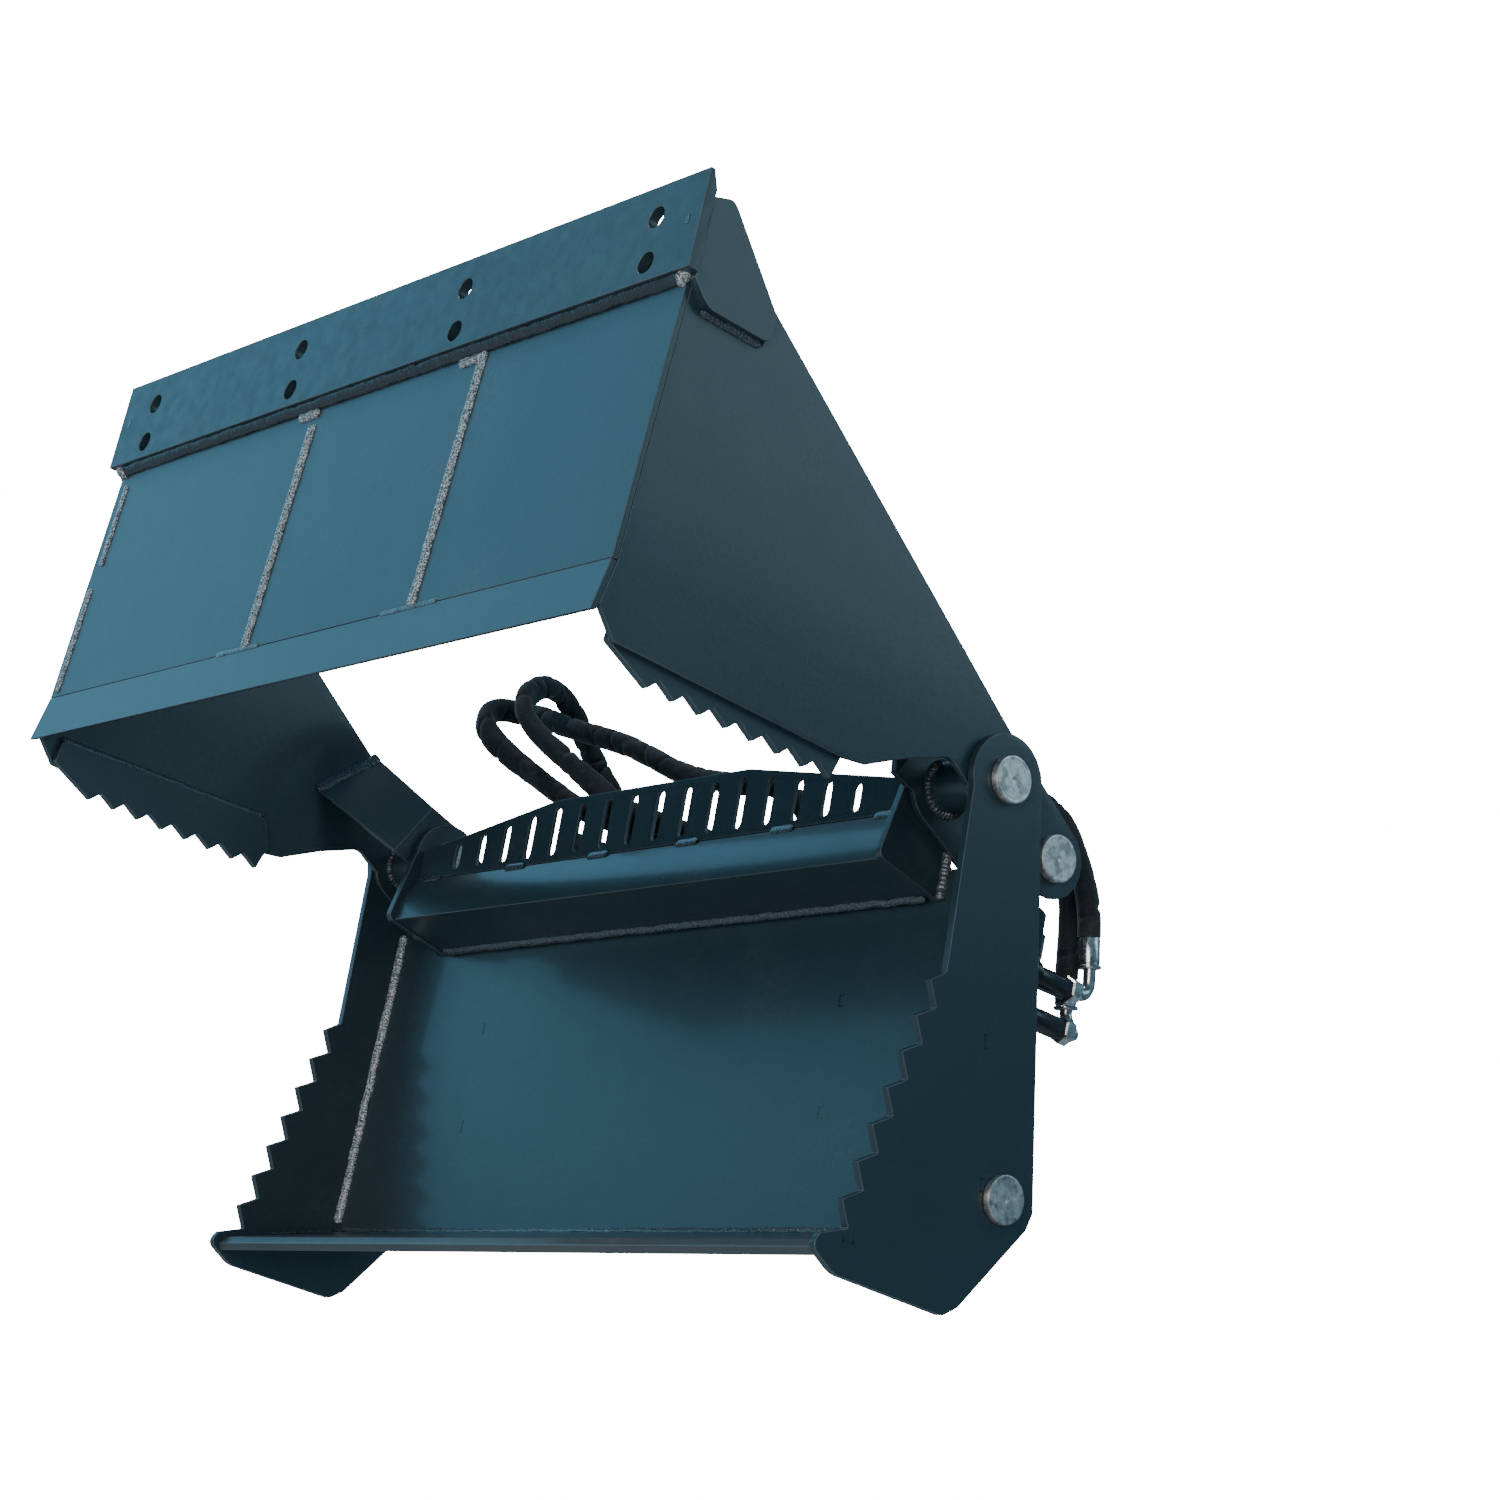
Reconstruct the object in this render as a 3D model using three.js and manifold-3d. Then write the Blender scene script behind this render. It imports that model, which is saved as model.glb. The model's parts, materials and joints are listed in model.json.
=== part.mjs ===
// Four-in-one bucket for a compact loader: a toothed rear section that carries the quick-attach plate,
// and a front clamshell that two hydraulic cylinders swing open and shut.
// Millimetres. +X is the bucket's width, -Y its digging side, +Z up. The origin is the centre of the
// quick-attach plate's rear face. The bucket stands level, with its clamshell fully open.

import * as THREE from 'three';
import { mergeVertices } from 'three/addons/utils/BufferGeometryUtils.js';
import { ConvexGeometry } from 'three/addons/geometries/ConvexGeometry.js';
import Module from 'manifold-3d';

const wasm = await Module();
wasm.setup();

// ---- driving dimensions ------------------------------------------------------------------------
const GAP = 0.3;                     // clearance between pieces that touch
const TILT = 30;                     // degrees from the side plates' own frame to the level frame
const HINGE_Y = -250;                // clamshell hinge, from the origin, with the bucket level
const HINGE_Z = 207;

const WIDTH = 1000;                  // over the outer faces of the rear side plates
const SIDE_T = 8;                    // rear side plate
const CLAM_SIDE_OUT = 490.5;         // outer face of the clamshell's side plate
const CLAM_SIDE_T = 6;
const ARM_IN = 411;                  // inner face of the clamshell's inner arm plate
const ARM_T = 6;
const GUSSET_IN = 401;               // hinge gusset of the rear section
const GUSSET_T = 8;
const CYL_X = 450.75;                // centre line of each cylinder

const PIN_D = 30;                    // hinge, cylinder and crank pins
const PIN_CLEAR = 0.6;               // on the diameter
const HEAD_D = 46;
const HEAD_T = 8;

const HINGE = [0, 0];                // side-view points are [y, z] from the hinge axis
const BASE_PIN = [0, -387];
const CRANK = [71, -65];
const HINGE_EAR_R = 43;
const CRANK_EAR_R = 38;

const TEETH = 7;                     // along the front edge of each rear side plate
const TOOTH_STEP = [-16.68, -33.55];
const TOOTH_FIRST = [-93.2, -194];
const TOOTH_NOTCH = [7.9, -25.1];
const CLAM_TEETH = 8;                // along each clamshell tooth strip
const CLAM_TOOTH_STEP = [30.19, -7.24];
const CLAM_TOOTH_FIRST = [-418.6, 26.6];
const CLAM_TOOTH_NOTCH = [13.7, 8.2];

const BACK_T = 5;                    // back plate
const BACK_LEAN = 12.1;              // degrees, top towards the loader
const BACK_FOOT = [-65.3, -418.5];   // foot of its inner face
const FLOOR_DROP = 4.7;              // degrees that the short rear floor falls towards its front edge
const FLOOR_T = 6;
const REAR_LIP = 152;                // depth of the rear floor and its cutting edge
const REAR_EDGE_D = 52;
const REAR_EDGE_T = 14;

const CLAM_FLOOR_T = 6;
const CLAM_FLOOR_TOP = [-395.3, 398.3];   // outer face, under the cutting edge's rear side
const CLAM_BEND = [-467, 132];            // where the floor ends and the rear blade starts
const BLADE_TIP = [-488, 84];
const EDGE_REAR = [-407.3, 401.1];        // outer face of the clamshell's cutting edge
const EDGE_TIP = [-384.8, 497.4];
const EDGE_T = 12;
const EDGE_HALF = 505;
const EDGE_HOLE_D = 22;
const EDGE_HOLES_X = [-438, -145, 145, 438];
const EDGE_HOLES_UP = [19.5, 65.5];

const GUARD_FOOT = [-41, -26];
const GUARD_LEAN = 10;
const GUARD_T = 4;
const GUARD_HALF = 400.5;
const GUARD_H = [35, 71];            // height at the ends and over the middle
const GUARD_FLAT = 160;              // half-length of the high middle
const SLOTS = 16;
const SLOT_PITCH = 44.1;
const SLOT_W = 11;

const BARREL_R = 32;
const BORE_R = 25;
const ROD_R = 14;
const BARREL_END = 262;              // along the cylinder's axis from its base pin
const GLAND_END = 285;
const EYE_HALF = 28;                 // half-width of the eyes at both ends
const PORT_UP = [230, 190];          // the two ports, along the axis
const HOSE_R = 12.5;
const COUPLERS = [100, -62];         // the pair of quick couplers, behind the manifold

const PLATE_W = 500;                 // quick-attach plate
const PLATE_LOW = -97.7;
const PLATE_HIGH = 70;
const PLATE_T = 10;

// ---- materials -----------------------------------------------------------------------------------
const paint = new THREE.MeshStandardMaterial({ color: 0x1c2429, roughness: 0.32, metalness: 0.0 });
const blackPaint = new THREE.MeshStandardMaterial({ color: 0x0b0e10, roughness: 0.28, metalness: 0.0 });
const zinc = new THREE.MeshStandardMaterial({ color: 0xa9aeb0, roughness: 0.38, metalness: 1.0 });
const chrome = new THREE.MeshStandardMaterial({ color: 0xc8cccf, roughness: 0.12, metalness: 1.0 });
const fabric = new THREE.MeshStandardMaterial({ color: 0x14181b, roughness: 0.95, metalness: 0.0 });

// ---- frames --------------------------------------------------------------------------------------
const group = new THREE.Group();
const hingeFrame = new THREE.Group();      // the side plates' own frame, at the hinge axis
hingeFrame.position.set(0, HINGE_Y, HINGE_Z);
hingeFrame.rotation.x = THREE.MathUtils.degToRad(TILT);
group.add(hingeFrame);

// ---- small geometry helpers ------------------------------------------------------------------------
const add = (a, b, k = 1) => [a[0] + k * b[0], a[1] + k * b[1]];
const unit = (a, b) => {
  const length = Math.hypot(b[0] - a[0], b[1] - a[1]);
  return [(b[0] - a[0]) / length, (b[1] - a[1]) / length];
};
const rightOf = (d) => [d[1], -d[0]];
const alongX = new THREE.Matrix4().makeBasis(
  new THREE.Vector3(0, 1, 0), new THREE.Vector3(0, 0, 1), new THREE.Vector3(1, 0, 0));

function put(name, geometry, material, parent = hingeFrame) {
  const mesh = new THREE.Mesh(geometry, material);
  mesh.name = name;
  parent.add(mesh);
  return mesh;
}

// Points of an arc, from one angle to another in degrees.
function arc(centre, radius, from, to, steps = 8) {
  return Array.from({ length: steps + 1 }, (_, i) => {
    const angle = THREE.MathUtils.degToRad(from + (to - from) * i / steps);
    return [centre[0] + radius * Math.cos(angle), centre[1] + radius * Math.sin(angle)];
  });
}

// The arc that rounds a corner of an outline.
function rounded(before, corner, after, radius, steps = 4) {
  const back = unit(corner, before);
  const on = unit(corner, after);
  const half = Math.acos(THREE.MathUtils.clamp(back[0] * on[0] + back[1] * on[1], -1, 1)) / 2;
  const centre = add(corner, unit([0, 0], add(back, on)), radius / Math.sin(half));
  const angle = (q) => THREE.MathUtils.radToDeg(Math.atan2(q[1] - centre[1], q[0] - centre[0]));
  const from = angle(add(corner, back, radius / Math.tan(half)));
  const to = angle(add(corner, on, radius / Math.tan(half)));
  const turn = ((to - from + 540) % 360) - 180;
  return arc(centre, radius, from, from + turn, steps);
}

const path = (points) => points.map(([u, v]) => new THREE.Vector2(u, v));

// A closed outline through [u, v, radius] points; a radius rounds that corner.
function outline(points) {
  const all = points.flatMap((p, i) => {
    if (!p[2]) return [p];
    const before = points[(i + points.length - 1) % points.length];
    return rounded(before, p, points[(i + 1) % points.length], p[2]);
  });
  return new THREE.Shape(path(all));
}

function hole(shape, centre, radius, steps = 20) {
  shape.holes.push(new THREE.Path(path(arc(centre, radius, 0, 360 * (1 - 1 / steps), steps - 1))));
  return shape;
}

// A plate that stands across X: its outline is in [y, z] and it fills x0 to x1.
function crossPlate(shape, x0, x1) {
  const geometry = new THREE.ExtrudeGeometry(shape, { depth: x1 - x0, bevelEnabled: false });
  geometry.translate(0, 0, x0);
  return geometry.applyMatrix4(alongX);
}

// A sheet whose outline is in [x, up], with its front face through foot and leaning back.
function sheet(shape, foot, lean, thickness) {
  const geometry = new THREE.ExtrudeGeometry(shape, { depth: thickness, bevelEnabled: false });
  geometry.translate(0, 0, -thickness);
  geometry.rotateX(THREE.MathUtils.degToRad(90 - lean));
  return geometry.translate(0, foot[0], foot[1]);
}

// A turned piece along X: its profile is [x, radius] and closes on itself or on the axis.
function turned(profile, centre = [0, 0], segments = 20) {
  const geometry = new THREE.LatheGeometry(profile.map(([x, r]) => new THREE.Vector2(r, x)), segments);
  geometry.rotateZ(-Math.PI / 2);
  return geometry.translate(0, centre[0], centre[1]);
}

// The [x, radius] profile of a ring.
const ring = (x0, x1, bore, radius) => [[x0, bore], [x0, radius], [x1, radius], [x1, bore], [x0, bore]];

function tube(points, radius, steps, sides = 8) {
  const curve = new THREE.CatmullRomCurve3(points.map((p) => new THREE.Vector3(...p)), false, 'centripetal');
  const section = new THREE.Shape(path(arc([0, 0], radius, 0, 360 * (1 - 1 / sides), sides - 1)));
  return new THREE.ExtrudeGeometry(section, { steps, extrudePath: curve, bevelEnabled: false });
}

function solid(geometry) {
  const bare = geometry.clone();
  bare.deleteAttribute('normal');
  bare.deleteAttribute('uv');
  const merged = mergeVertices(bare, 1e-3);
  const triVerts = Uint32Array.from(merged.index.array);
  const vertProperties = Float32Array.from(merged.attributes.position.array);
  return new wasm.Manifold(new wasm.Mesh({ numProp: 3, vertProperties, triVerts }));
}

function geometryOf(manifold) {
  const { vertProperties, triVerts } = manifold.getMesh();
  const geometry = new THREE.BufferGeometry();
  geometry.setAttribute('position', new THREE.BufferAttribute(vertProperties, 3));
  geometry.setIndex(new THREE.BufferAttribute(triVerts, 1));
  geometry.computeVertexNormals();
  return geometry;
}

const join = (...parts) => geometryOf(parts.map(solid).reduce((a, b) => a.add(b)));
const cut = (body, ...tools) => geometryOf(tools.map(solid).reduce((a, b) => a.subtract(b), solid(body)));

const SIDES = [['left', -1], ['right', 1]];
const onSide = (geometry, sign) => (sign > 0 ? geometry : mirrored(geometry));

// The left-hand twin of a right-hand piece.
function mirrored(geometry) {
  const copy = geometry.index ? geometry.toNonIndexed() : geometry.clone();
  copy.scale(-1, 1, 1);
  const { array } = copy.attributes.position;
  for (let i = 0; i < array.length; i += 9) {
    for (let k = 0; k < 3; k += 1) {
      const kept = array[i + 3 + k];
      array[i + 3 + k] = array[i + 6 + k];
      array[i + 6 + k] = kept;
    }
  }
  copy.computeVertexNormals();
  return copy;
}

// ---- rear section: side plates ---------------------------------------------------------------------
function rearSideOutline() {
  const points = [[42, -398], [33.5, -413.5], [-50.9, -485, 6], [-69.5, -493, 12], [-201, -460.4, 30],
    [-228, -436, 9], [-216.9, -424.9]];
  for (let k = TEETH - 1; k >= 0; k -= 1) {
    const tip = add(TOOTH_FIRST, TOOTH_STEP, k);
    points.push(add(tip, TOOTH_NOTCH), [...tip, 1.5]);
  }
  points.push([-73.5, -185.6], ...arc(HINGE, 45, 193, 0, 12));
  return outline(points);
}

function rearSides() {
  const shape = rearSideOutline();
  hole(shape, HINGE, (PIN_D + PIN_CLEAR) / 2);
  hole(shape, BASE_PIN, (PIN_D + PIN_CLEAR) / 2);
  for (const [side, sign] of SIDES) {
    const plate = crossPlate(shape, WIDTH / 2 - SIDE_T, WIDTH / 2);
    put(`${side}_side_plate`, onSide(plate, sign), paint);
  }
}

// ---- rear section: back plate, floor and cutting edge ------------------------------------------------
const INNER_HALF = WIDTH / 2 - SIDE_T - GAP;
const BACK_TOP = 401;                // up the plate, between the hinge gussets
const BACK_SHOULDER = 351;           // lower beside them, so that the clamshell's arms pass
const backUp = [Math.sin(THREE.MathUtils.degToRad(BACK_LEAN)), Math.cos(THREE.MathUtils.degToRad(BACK_LEAN))];
const backInner = (z) => BACK_FOOT[0] + (z - BACK_FOOT[1]) * backUp[0] / backUp[1];
const backOuter = (z) => backInner(z) + BACK_T / backUp[1];

function backPlate() {
  const half = GUSSET_IN + GUSSET_T;
  const shape = outline([[-INNER_HALF, -FLOOR_T], [INNER_HALF, -FLOOR_T], [INNER_HALF, BACK_SHOULDER],
    [half, BACK_SHOULDER, 10], [half, BACK_TOP], [-half, BACK_TOP], [-half, BACK_SHOULDER, 10],
    [-INNER_HALF, BACK_SHOULDER]]);
  put('back_plate', sheet(shape, BACK_FOOT, BACK_LEAN, BACK_T), paint);
}

// Side-view point on the rear floor, from how far forward it is and how far above the floor's face.
function onRearFloor(forward, above) {
  const fall = THREE.MathUtils.degToRad(FLOOR_DROP);
  return [BACK_FOOT[0] - forward * Math.cos(fall) - above * Math.sin(fall),
    BACK_FOOT[1] - forward * Math.sin(fall) + above * Math.cos(fall)];
}

function rearFloor() {
  const joint = REAR_LIP - REAR_EDGE_D;
  const floor = outline([onRearFloor(GAP, 0), onRearFloor(2, -FLOOR_T), onRearFloor(joint, -FLOOR_T),
    onRearFloor(joint, 0)]);
  put('rear_floor_plate', crossPlate(floor, -INNER_HALF, INNER_HALF), paint);
  const edge = outline([onRearFloor(joint + GAP, 0), onRearFloor(joint + GAP, -REAR_EDGE_T),
    onRearFloor(REAR_LIP, -REAR_EDGE_T), onRearFloor(REAR_LIP, -6), onRearFloor(REAR_LIP - 9, 0)]);
  put('rear_cutting_edge', crossPlate(edge, -INNER_HALF, INNER_HALF), paint);
}

// ---- rear section: top channel, spill guard, hinge gussets -------------------------------------------
function topChannel() {
  const channel = outline([[-2.3, -102], [-1.2, -96.5], [-63.6, -69.6], [-57.7, -51.7], [-38.8, -31],
    [backInner(-31) - GAP, -31], [backInner(-26) - GAP, -26], [-41, -26], [-62.8, -50.5], [-70, -72.6]]);
  put('top_channel', crossPlate(channel, -GUARD_HALF, GUARD_HALF), paint);
}

const guardHeight = (x) => {
  const beyond = Math.max(0, Math.abs(x) - GUARD_FLAT) / (GUARD_HALF - GUARD_FLAT);
  return GUARD_H[1] + (GUARD_H[0] - GUARD_H[1]) * beyond;
};

function spillGuard() {
  const shape = outline([[-GUARD_HALF, 1.1], [GUARD_HALF, 1.1], [GUARD_HALF, GUARD_H[0], 3],
    [GUARD_FLAT, GUARD_H[1]], [-GUARD_FLAT, GUARD_H[1]], [-GUARD_HALF, GUARD_H[0], 3]]);
  for (let i = 0; i < SLOTS; i += 1) {
    const x = (i - (SLOTS - 1) / 2) * SLOT_PITCH;
    const r = SLOT_W / 2;
    const ends = [...arc([x, guardHeight(x) - 8 - r], r, 0, 180, 4), ...arc([x, 8 + r], r, 180, 360, 4)];
    shape.holes.push(new THREE.Path(path(ends)));
  }
  put('spill_guard', sheet(shape, GUARD_FOOT, GUARD_LEAN, GUARD_T), paint);
}

function hingeGussets() {
  const shape = outline([[backInner(-107) - GAP, -107], [-78, -71, 8], [-41.7, 9],
    ...arc(HINGE, HINGE_EAR_R, 158, -34, 10), [backInner(-25.4) + 2, -25.4], [backInner(-25.4) - GAP, -25.4]]);
  hole(shape, HINGE, (PIN_D + PIN_CLEAR) / 2);
  for (const [side, sign] of SIDES) {
    const gusset = crossPlate(shape, GUSSET_IN, GUSSET_IN + GUSSET_T);
    put(`${side}_hinge_gusset`, onSide(gusset, sign), paint);
  }
}

// ---- rear section: cylinder lugs and pins --------------------------------------------------------------
function cylinderLugs() {
  const shape = outline([[backOuter(-415) + GAP, -415], ...arc(BASE_PIN, 34, -75, 75, 8),
    [backOuter(-330) + GAP, -330]]);
  hole(shape, BASE_PIN, (PIN_D + PIN_CLEAR) / 2);
  for (const [side, sign] of SIDES) {
    put(`${side}_cylinder_lug`, onSide(crossPlate(shape, GUSSET_IN + 3, GUSSET_IN + 13), sign), paint);
  }
}

function headedPins() {
  const out = WIDTH / 2 + GAP;
  const shaft = PIN_D / 2;
  const pin = [[385, 0], [385, shaft - 2], [387, shaft], [out, shaft], [out, HEAD_D / 2],
    [out + HEAD_T - 1.5, HEAD_D / 2], [out + HEAD_T, HEAD_D / 2 - 1.5], [out + HEAD_T, 0]];
  const collar = ring(389, GUSSET_IN - GAP, shaft + GAP, HEAD_D / 2);
  for (const [side, sign] of SIDES) {
    put(`${side}_hinge_pin`, onSide(turned(pin, HINGE), sign), zinc);
    put(`${side}_hinge_collar`, onSide(turned(collar, HINGE), sign), zinc);
    put(`${side}_cylinder_pin`, onSide(turned(pin, BASE_PIN), sign), zinc);
  }
}

// ---- clamshell: side plates and arms ---------------------------------------------------------------
const floorUp = unit(CLAM_BEND, CLAM_FLOOR_TOP);
const floorIn = rightOf(floorUp);
const bladeUp = unit(BLADE_TIP, CLAM_BEND);
const bladeIn = rightOf(bladeUp);
const edgeUp = unit(EDGE_REAR, EDGE_TIP);
const edgeIn = rightOf(edgeUp);
const floorInner = (up, depth) => add(add(CLAM_BEND, floorUp, up), floorIn, depth);
const bladeInner = (up, depth) => add(add(BLADE_TIP, bladeUp, up), bladeIn, depth);
const onEdge = (up, depth) => add(add(EDGE_REAR, edgeUp, up), edgeIn, depth);

// The lever between the hinge ear and the crank ear, from the back edge round to the lower edge.
function leverPoints() {
  return [...arc(CRANK, CRANK_EAR_R, 52, -131, 10), ...arc(HINGE, HINGE_EAR_R, -131, -160, 3)];
}

function clamSides() {
  const inner = CLAM_FLOOR_T + GAP;
  const shape = outline([bladeInner(9, inner), floorInner(-0.5, inner + 0.4), floorInner(318, inner),
    [-342, 442], [18, 42, 12], ...leverPoints(), [-40, -10, 6], [-66, 14.6, 14], [-116.7, 6.5],
    [-168, -6.5, 6], [-201.9, -3.6], [-461.5, 59.5, 3]]);
  hole(shape, HINGE, (PIN_D + PIN_CLEAR) / 2);
  hole(shape, CRANK, (PIN_D + PIN_CLEAR) / 2);
  for (const [side, sign] of SIDES) {
    const plate = crossPlate(shape, CLAM_SIDE_OUT - CLAM_SIDE_T, CLAM_SIDE_OUT);
    put(`${side}_clam_side`, onSide(plate, sign), paint);
  }
}

// Each inner arm plate runs parallel to the side plate at the pins, then bends out to meet it.
function clamArms() {
  const flat = outline([[-18, 62.3], [18, 42, 12], ...leverPoints(), [-42, -8], [-67.6, 7.1]]);
  hole(flat, HINGE, (PIN_D + PIN_CLEAR) / 2);
  const pinEnd = turned([[ARM_IN - 5, 0], [ARM_IN - 5, PIN_D / 2], [ARM_IN + 9, PIN_D / 2], [ARM_IN + 9, 0]], CRANK);
  const reach = CLAM_SIDE_OUT - CLAM_SIDE_T - GAP;
  const corners = [];
  for (const [x, y, z] of [[ARM_IN, -18, 62.3], [ARM_IN, -67.6, 7.1], [reach, -47, 122.7], [reach, -127.6, 76.5]]) {
    corners.push(new THREE.Vector3(x, y, z));
    if (x === ARM_IN) corners.push(new THREE.Vector3(x + ARM_T, y + 1.5, z - 1.5));
    else corners.push(new THREE.Vector3(x, y + 5.5, z - 5.5));
  }
  const arm = join(crossPlate(flat, ARM_IN, ARM_IN + ARM_T), new ConvexGeometry(corners), pinEnd);
  for (const [side, sign] of SIDES) put(`${side}_inner_arm`, onSide(arm, sign), paint);
}

function hingeTubes() {
  const x0 = ARM_IN + ARM_T + GAP;
  const x1 = CLAM_SIDE_OUT - CLAM_SIDE_T - GAP;
  const profile = ring(x0, x1, (PIN_D + PIN_CLEAR) / 2, 24);
  for (const [side, sign] of SIDES) put(`${side}_hinge_tube`, onSide(turned(profile, HINGE), sign), paint);
}

// ---- clamshell: floor, blade, cutting edge, tooth strips, corner plates ------------------------------
function clamFloor() {
  const half = CLAM_SIDE_OUT;
  const floor = outline([floorInner(GAP, 0), floorInner(GAP, CLAM_FLOOR_T), floorInner(320, CLAM_FLOOR_T),
    floorInner(320, 0)]);
  put('clam_floor', crossPlate(floor, -half, half), paint);
  const length = Math.hypot(CLAM_BEND[0] - BLADE_TIP[0], CLAM_BEND[1] - BLADE_TIP[1]);
  const blade = outline([bladeInner(0, 0), bladeInner(3, CLAM_FLOOR_T), bladeInner(length - GAP, CLAM_FLOOR_T),
    bladeInner(length - GAP, 0)]);
  put('clam_rear_blade', crossPlate(blade, -half, half), paint);
}

function clamEdge() {
  const length = Math.hypot(EDGE_TIP[0] - EDGE_REAR[0], EDGE_TIP[1] - EDGE_REAR[1]);
  const profile = outline([onEdge(0, 0), onEdge(0, EDGE_T), onEdge(50, EDGE_T - 1.6), onEdge(length - 18, EDGE_T),
    onEdge(length, 4.5), onEdge(length, 0)]);
  const body = crossPlate(profile, -EDGE_HALF, EDGE_HALF);
  const tools = [];
  for (const x of EDGE_HOLES_X) {
    for (const up of EDGE_HOLES_UP) {
      const [y, z] = onEdge(up, EDGE_T / 2);
      const drill = new THREE.CylinderGeometry(EDGE_HOLE_D / 2, EDGE_HOLE_D / 2, 3 * EDGE_T, 16);
      drill.rotateX(Math.atan2(edgeIn[1], edgeIn[0]));
      tools.push(drill.translate(x, y, z));
    }
  }
  put('clam_cutting_edge', cut(body, ...tools), paint);
}

function toothStrips() {
  const points = [[-455, 86, 4], [-463, 62, 3]];
  for (let k = 0; k < CLAM_TEETH; k += 1) {
    const tip = add(CLAM_TOOTH_FIRST, CLAM_TOOTH_STEP, k);
    points.push([...tip, 1]);
    if (k < CLAM_TEETH - 1) points.push(add(tip, CLAM_TOOTH_NOTCH));
  }
  points.push([-192, 2, 8], [-198, 34, 12]);
  const x1 = CLAM_SIDE_OUT - CLAM_SIDE_T - GAP;
  for (const [side, sign] of SIDES) {
    put(`${side}_tooth_strip`, onSide(crossPlate(outline(points), x1 - 8, x1), sign), paint);
  }
}

function cornerPlates() {
  const x0 = CLAM_SIDE_OUT + GAP;
  const front = EDGE_T + GAP + 0.2;
  const shape = outline([onEdge(-4, front), onEdge(76, front), [-354, 475, 10], [-300, 378, 14],
    [-310, 353, 8], [-381, 369, 24]]);
  for (const [side, sign] of SIDES) {
    put(`${side}_corner_plate`, onSide(crossPlate(shape, x0, x0 + 11), sign), paint);
  }
}

// ---- cylinders -----------------------------------------------------------------------------------------
// Each cylinder is built upright on its base pin and leaned over to point at the crank.
const RETRACTED = Math.hypot(CRANK[0] - BASE_PIN[0], CRANK[1] - BASE_PIN[1]);
const cylinderLean = Math.atan2(CRANK[0] - BASE_PIN[0], CRANK[1] - BASE_PIN[1]);

function placed(geometry) {
  geometry.rotateX(-cylinderLean);
  return geometry.translate(CYL_X, BASE_PIN[0], BASE_PIN[1]);
}

function upright(profile, segments = 20) {
  const geometry = new THREE.LatheGeometry(profile.map(([r, up]) => new THREE.Vector2(r, up)), segments);
  return geometry.rotateX(Math.PI / 2);
}

function eye(up, radius) {
  return turned(ring(-EYE_HALF, EYE_HALF, (PIN_D + PIN_CLEAR) / 2, radius), [0, up]);
}

function barrel() {
  const shell = upright([[0, 28], [BARREL_R, 28], [BARREL_R, BARREL_END], [BORE_R, BARREL_END], [BORE_R, 44],
    [0, 44]]);
  const pinHole = new THREE.CylinderGeometry((PIN_D + PIN_CLEAR) / 2, (PIN_D + PIN_CLEAR) / 2, 80, 20);
  pinHole.rotateZ(Math.PI / 2);
  const eyed = solid(eye(0, 30)).add(solid(shell)).subtract(solid(pinHole));
  const pipe = new THREE.CylinderGeometry(6, 6, 112, 8).rotateX(Math.PI / 2).translate(0, BARREL_R + 4.5, 110);
  const stubs = PORT_UP.map((up) => new THREE.CylinderGeometry(11, 11, 52, 12)
    .translate(0, BARREL_R - 4 + 26, up));
  return geometryOf([pipe, ...stubs].map(solid).reduce((a, b) => a.add(b), eyed)
    .subtract(solid(upright([[0, 44], [BORE_R, 44], [BORE_R, BARREL_END + 5], [0, BARREL_END + 5]]))));
}

function gland() {
  const fit = ROD_R + GAP;
  return upright([[fit, BARREL_END + GAP], [BARREL_R - 2, BARREL_END + GAP], [BARREL_R - 2, GLAND_END - 3],
    [BARREL_R - 5, GLAND_END], [fit, GLAND_END], [fit, BARREL_END + GAP]]);
}

function rod() {
  const shaft = upright([[0, 70], [ROD_R, 70], [ROD_R, RETRACTED - 20], [0, RETRACTED - 20]]);
  const pinHole = new THREE.CylinderGeometry((PIN_D + PIN_CLEAR) / 2, (PIN_D + PIN_CLEAR) / 2, 80, 20);
  pinHole.rotateZ(Math.PI / 2).translate(0, 0, RETRACTED);
  const piston = upright([[0, 48], [BORE_R - GAP, 48], [BORE_R - GAP, 74], [0, 74]]);
  return geometryOf(solid(eye(RETRACTED, 25)).add(solid(shaft)).add(solid(piston)).subtract(solid(pinHole)));
}

// The crank pin is in lengths: its head end sits in the clamshell's side plate, its other end is
// welded into the inner arm, and the middle turns in the rod's eye.
function crankPins() {
  const shaft = PIN_D / 2;
  const face = CLAM_SIDE_OUT + GAP;
  const outer = [[481, 0], [481, shaft], [face, shaft], [face, HEAD_D / 2], [face + HEAD_T - 1.5, HEAD_D / 2],
    [face + HEAD_T, HEAD_D / 2 - 1.5], [face + HEAD_T, 0]];
  const core = [[421, 0], [421, shaft], [480, shaft], [480, 0]];
  for (const [side, sign] of SIDES) {
    put(`${side}_crank_pin`, onSide(turned(outer, CRANK), sign), zinc);
    put(`${side}_crank_pin_core`, onSide(turned(core, CRANK), sign), zinc);
  }
}

// A swept elbow with its nut on the port and its ferrule on the hose, which stands upright.
function elbow(up, inboard) {
  const out = BARREL_R + 50 + GAP;
  const nut = new THREE.CylinderGeometry(14, 14, 15, 6).translate(0, out + 7.5, up);
  const bend = tube([[0, out + 10, up], [0, out + 18, up], [-inboard * 0.3, out + 26, up + 3],
    [-inboard * 0.7, out + 30, up + 11], [-inboard, out + 29, up + 22], [-inboard, out + 27, up + 34]], 6, 10);
  const ferrule = new THREE.CylinderGeometry(10, 10, 24, 12).rotateX(Math.PI / 2 + cylinderLean)
    .translate(-inboard, out + 24, up + 41);
  return join(nut, bend, ferrule);
}

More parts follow.
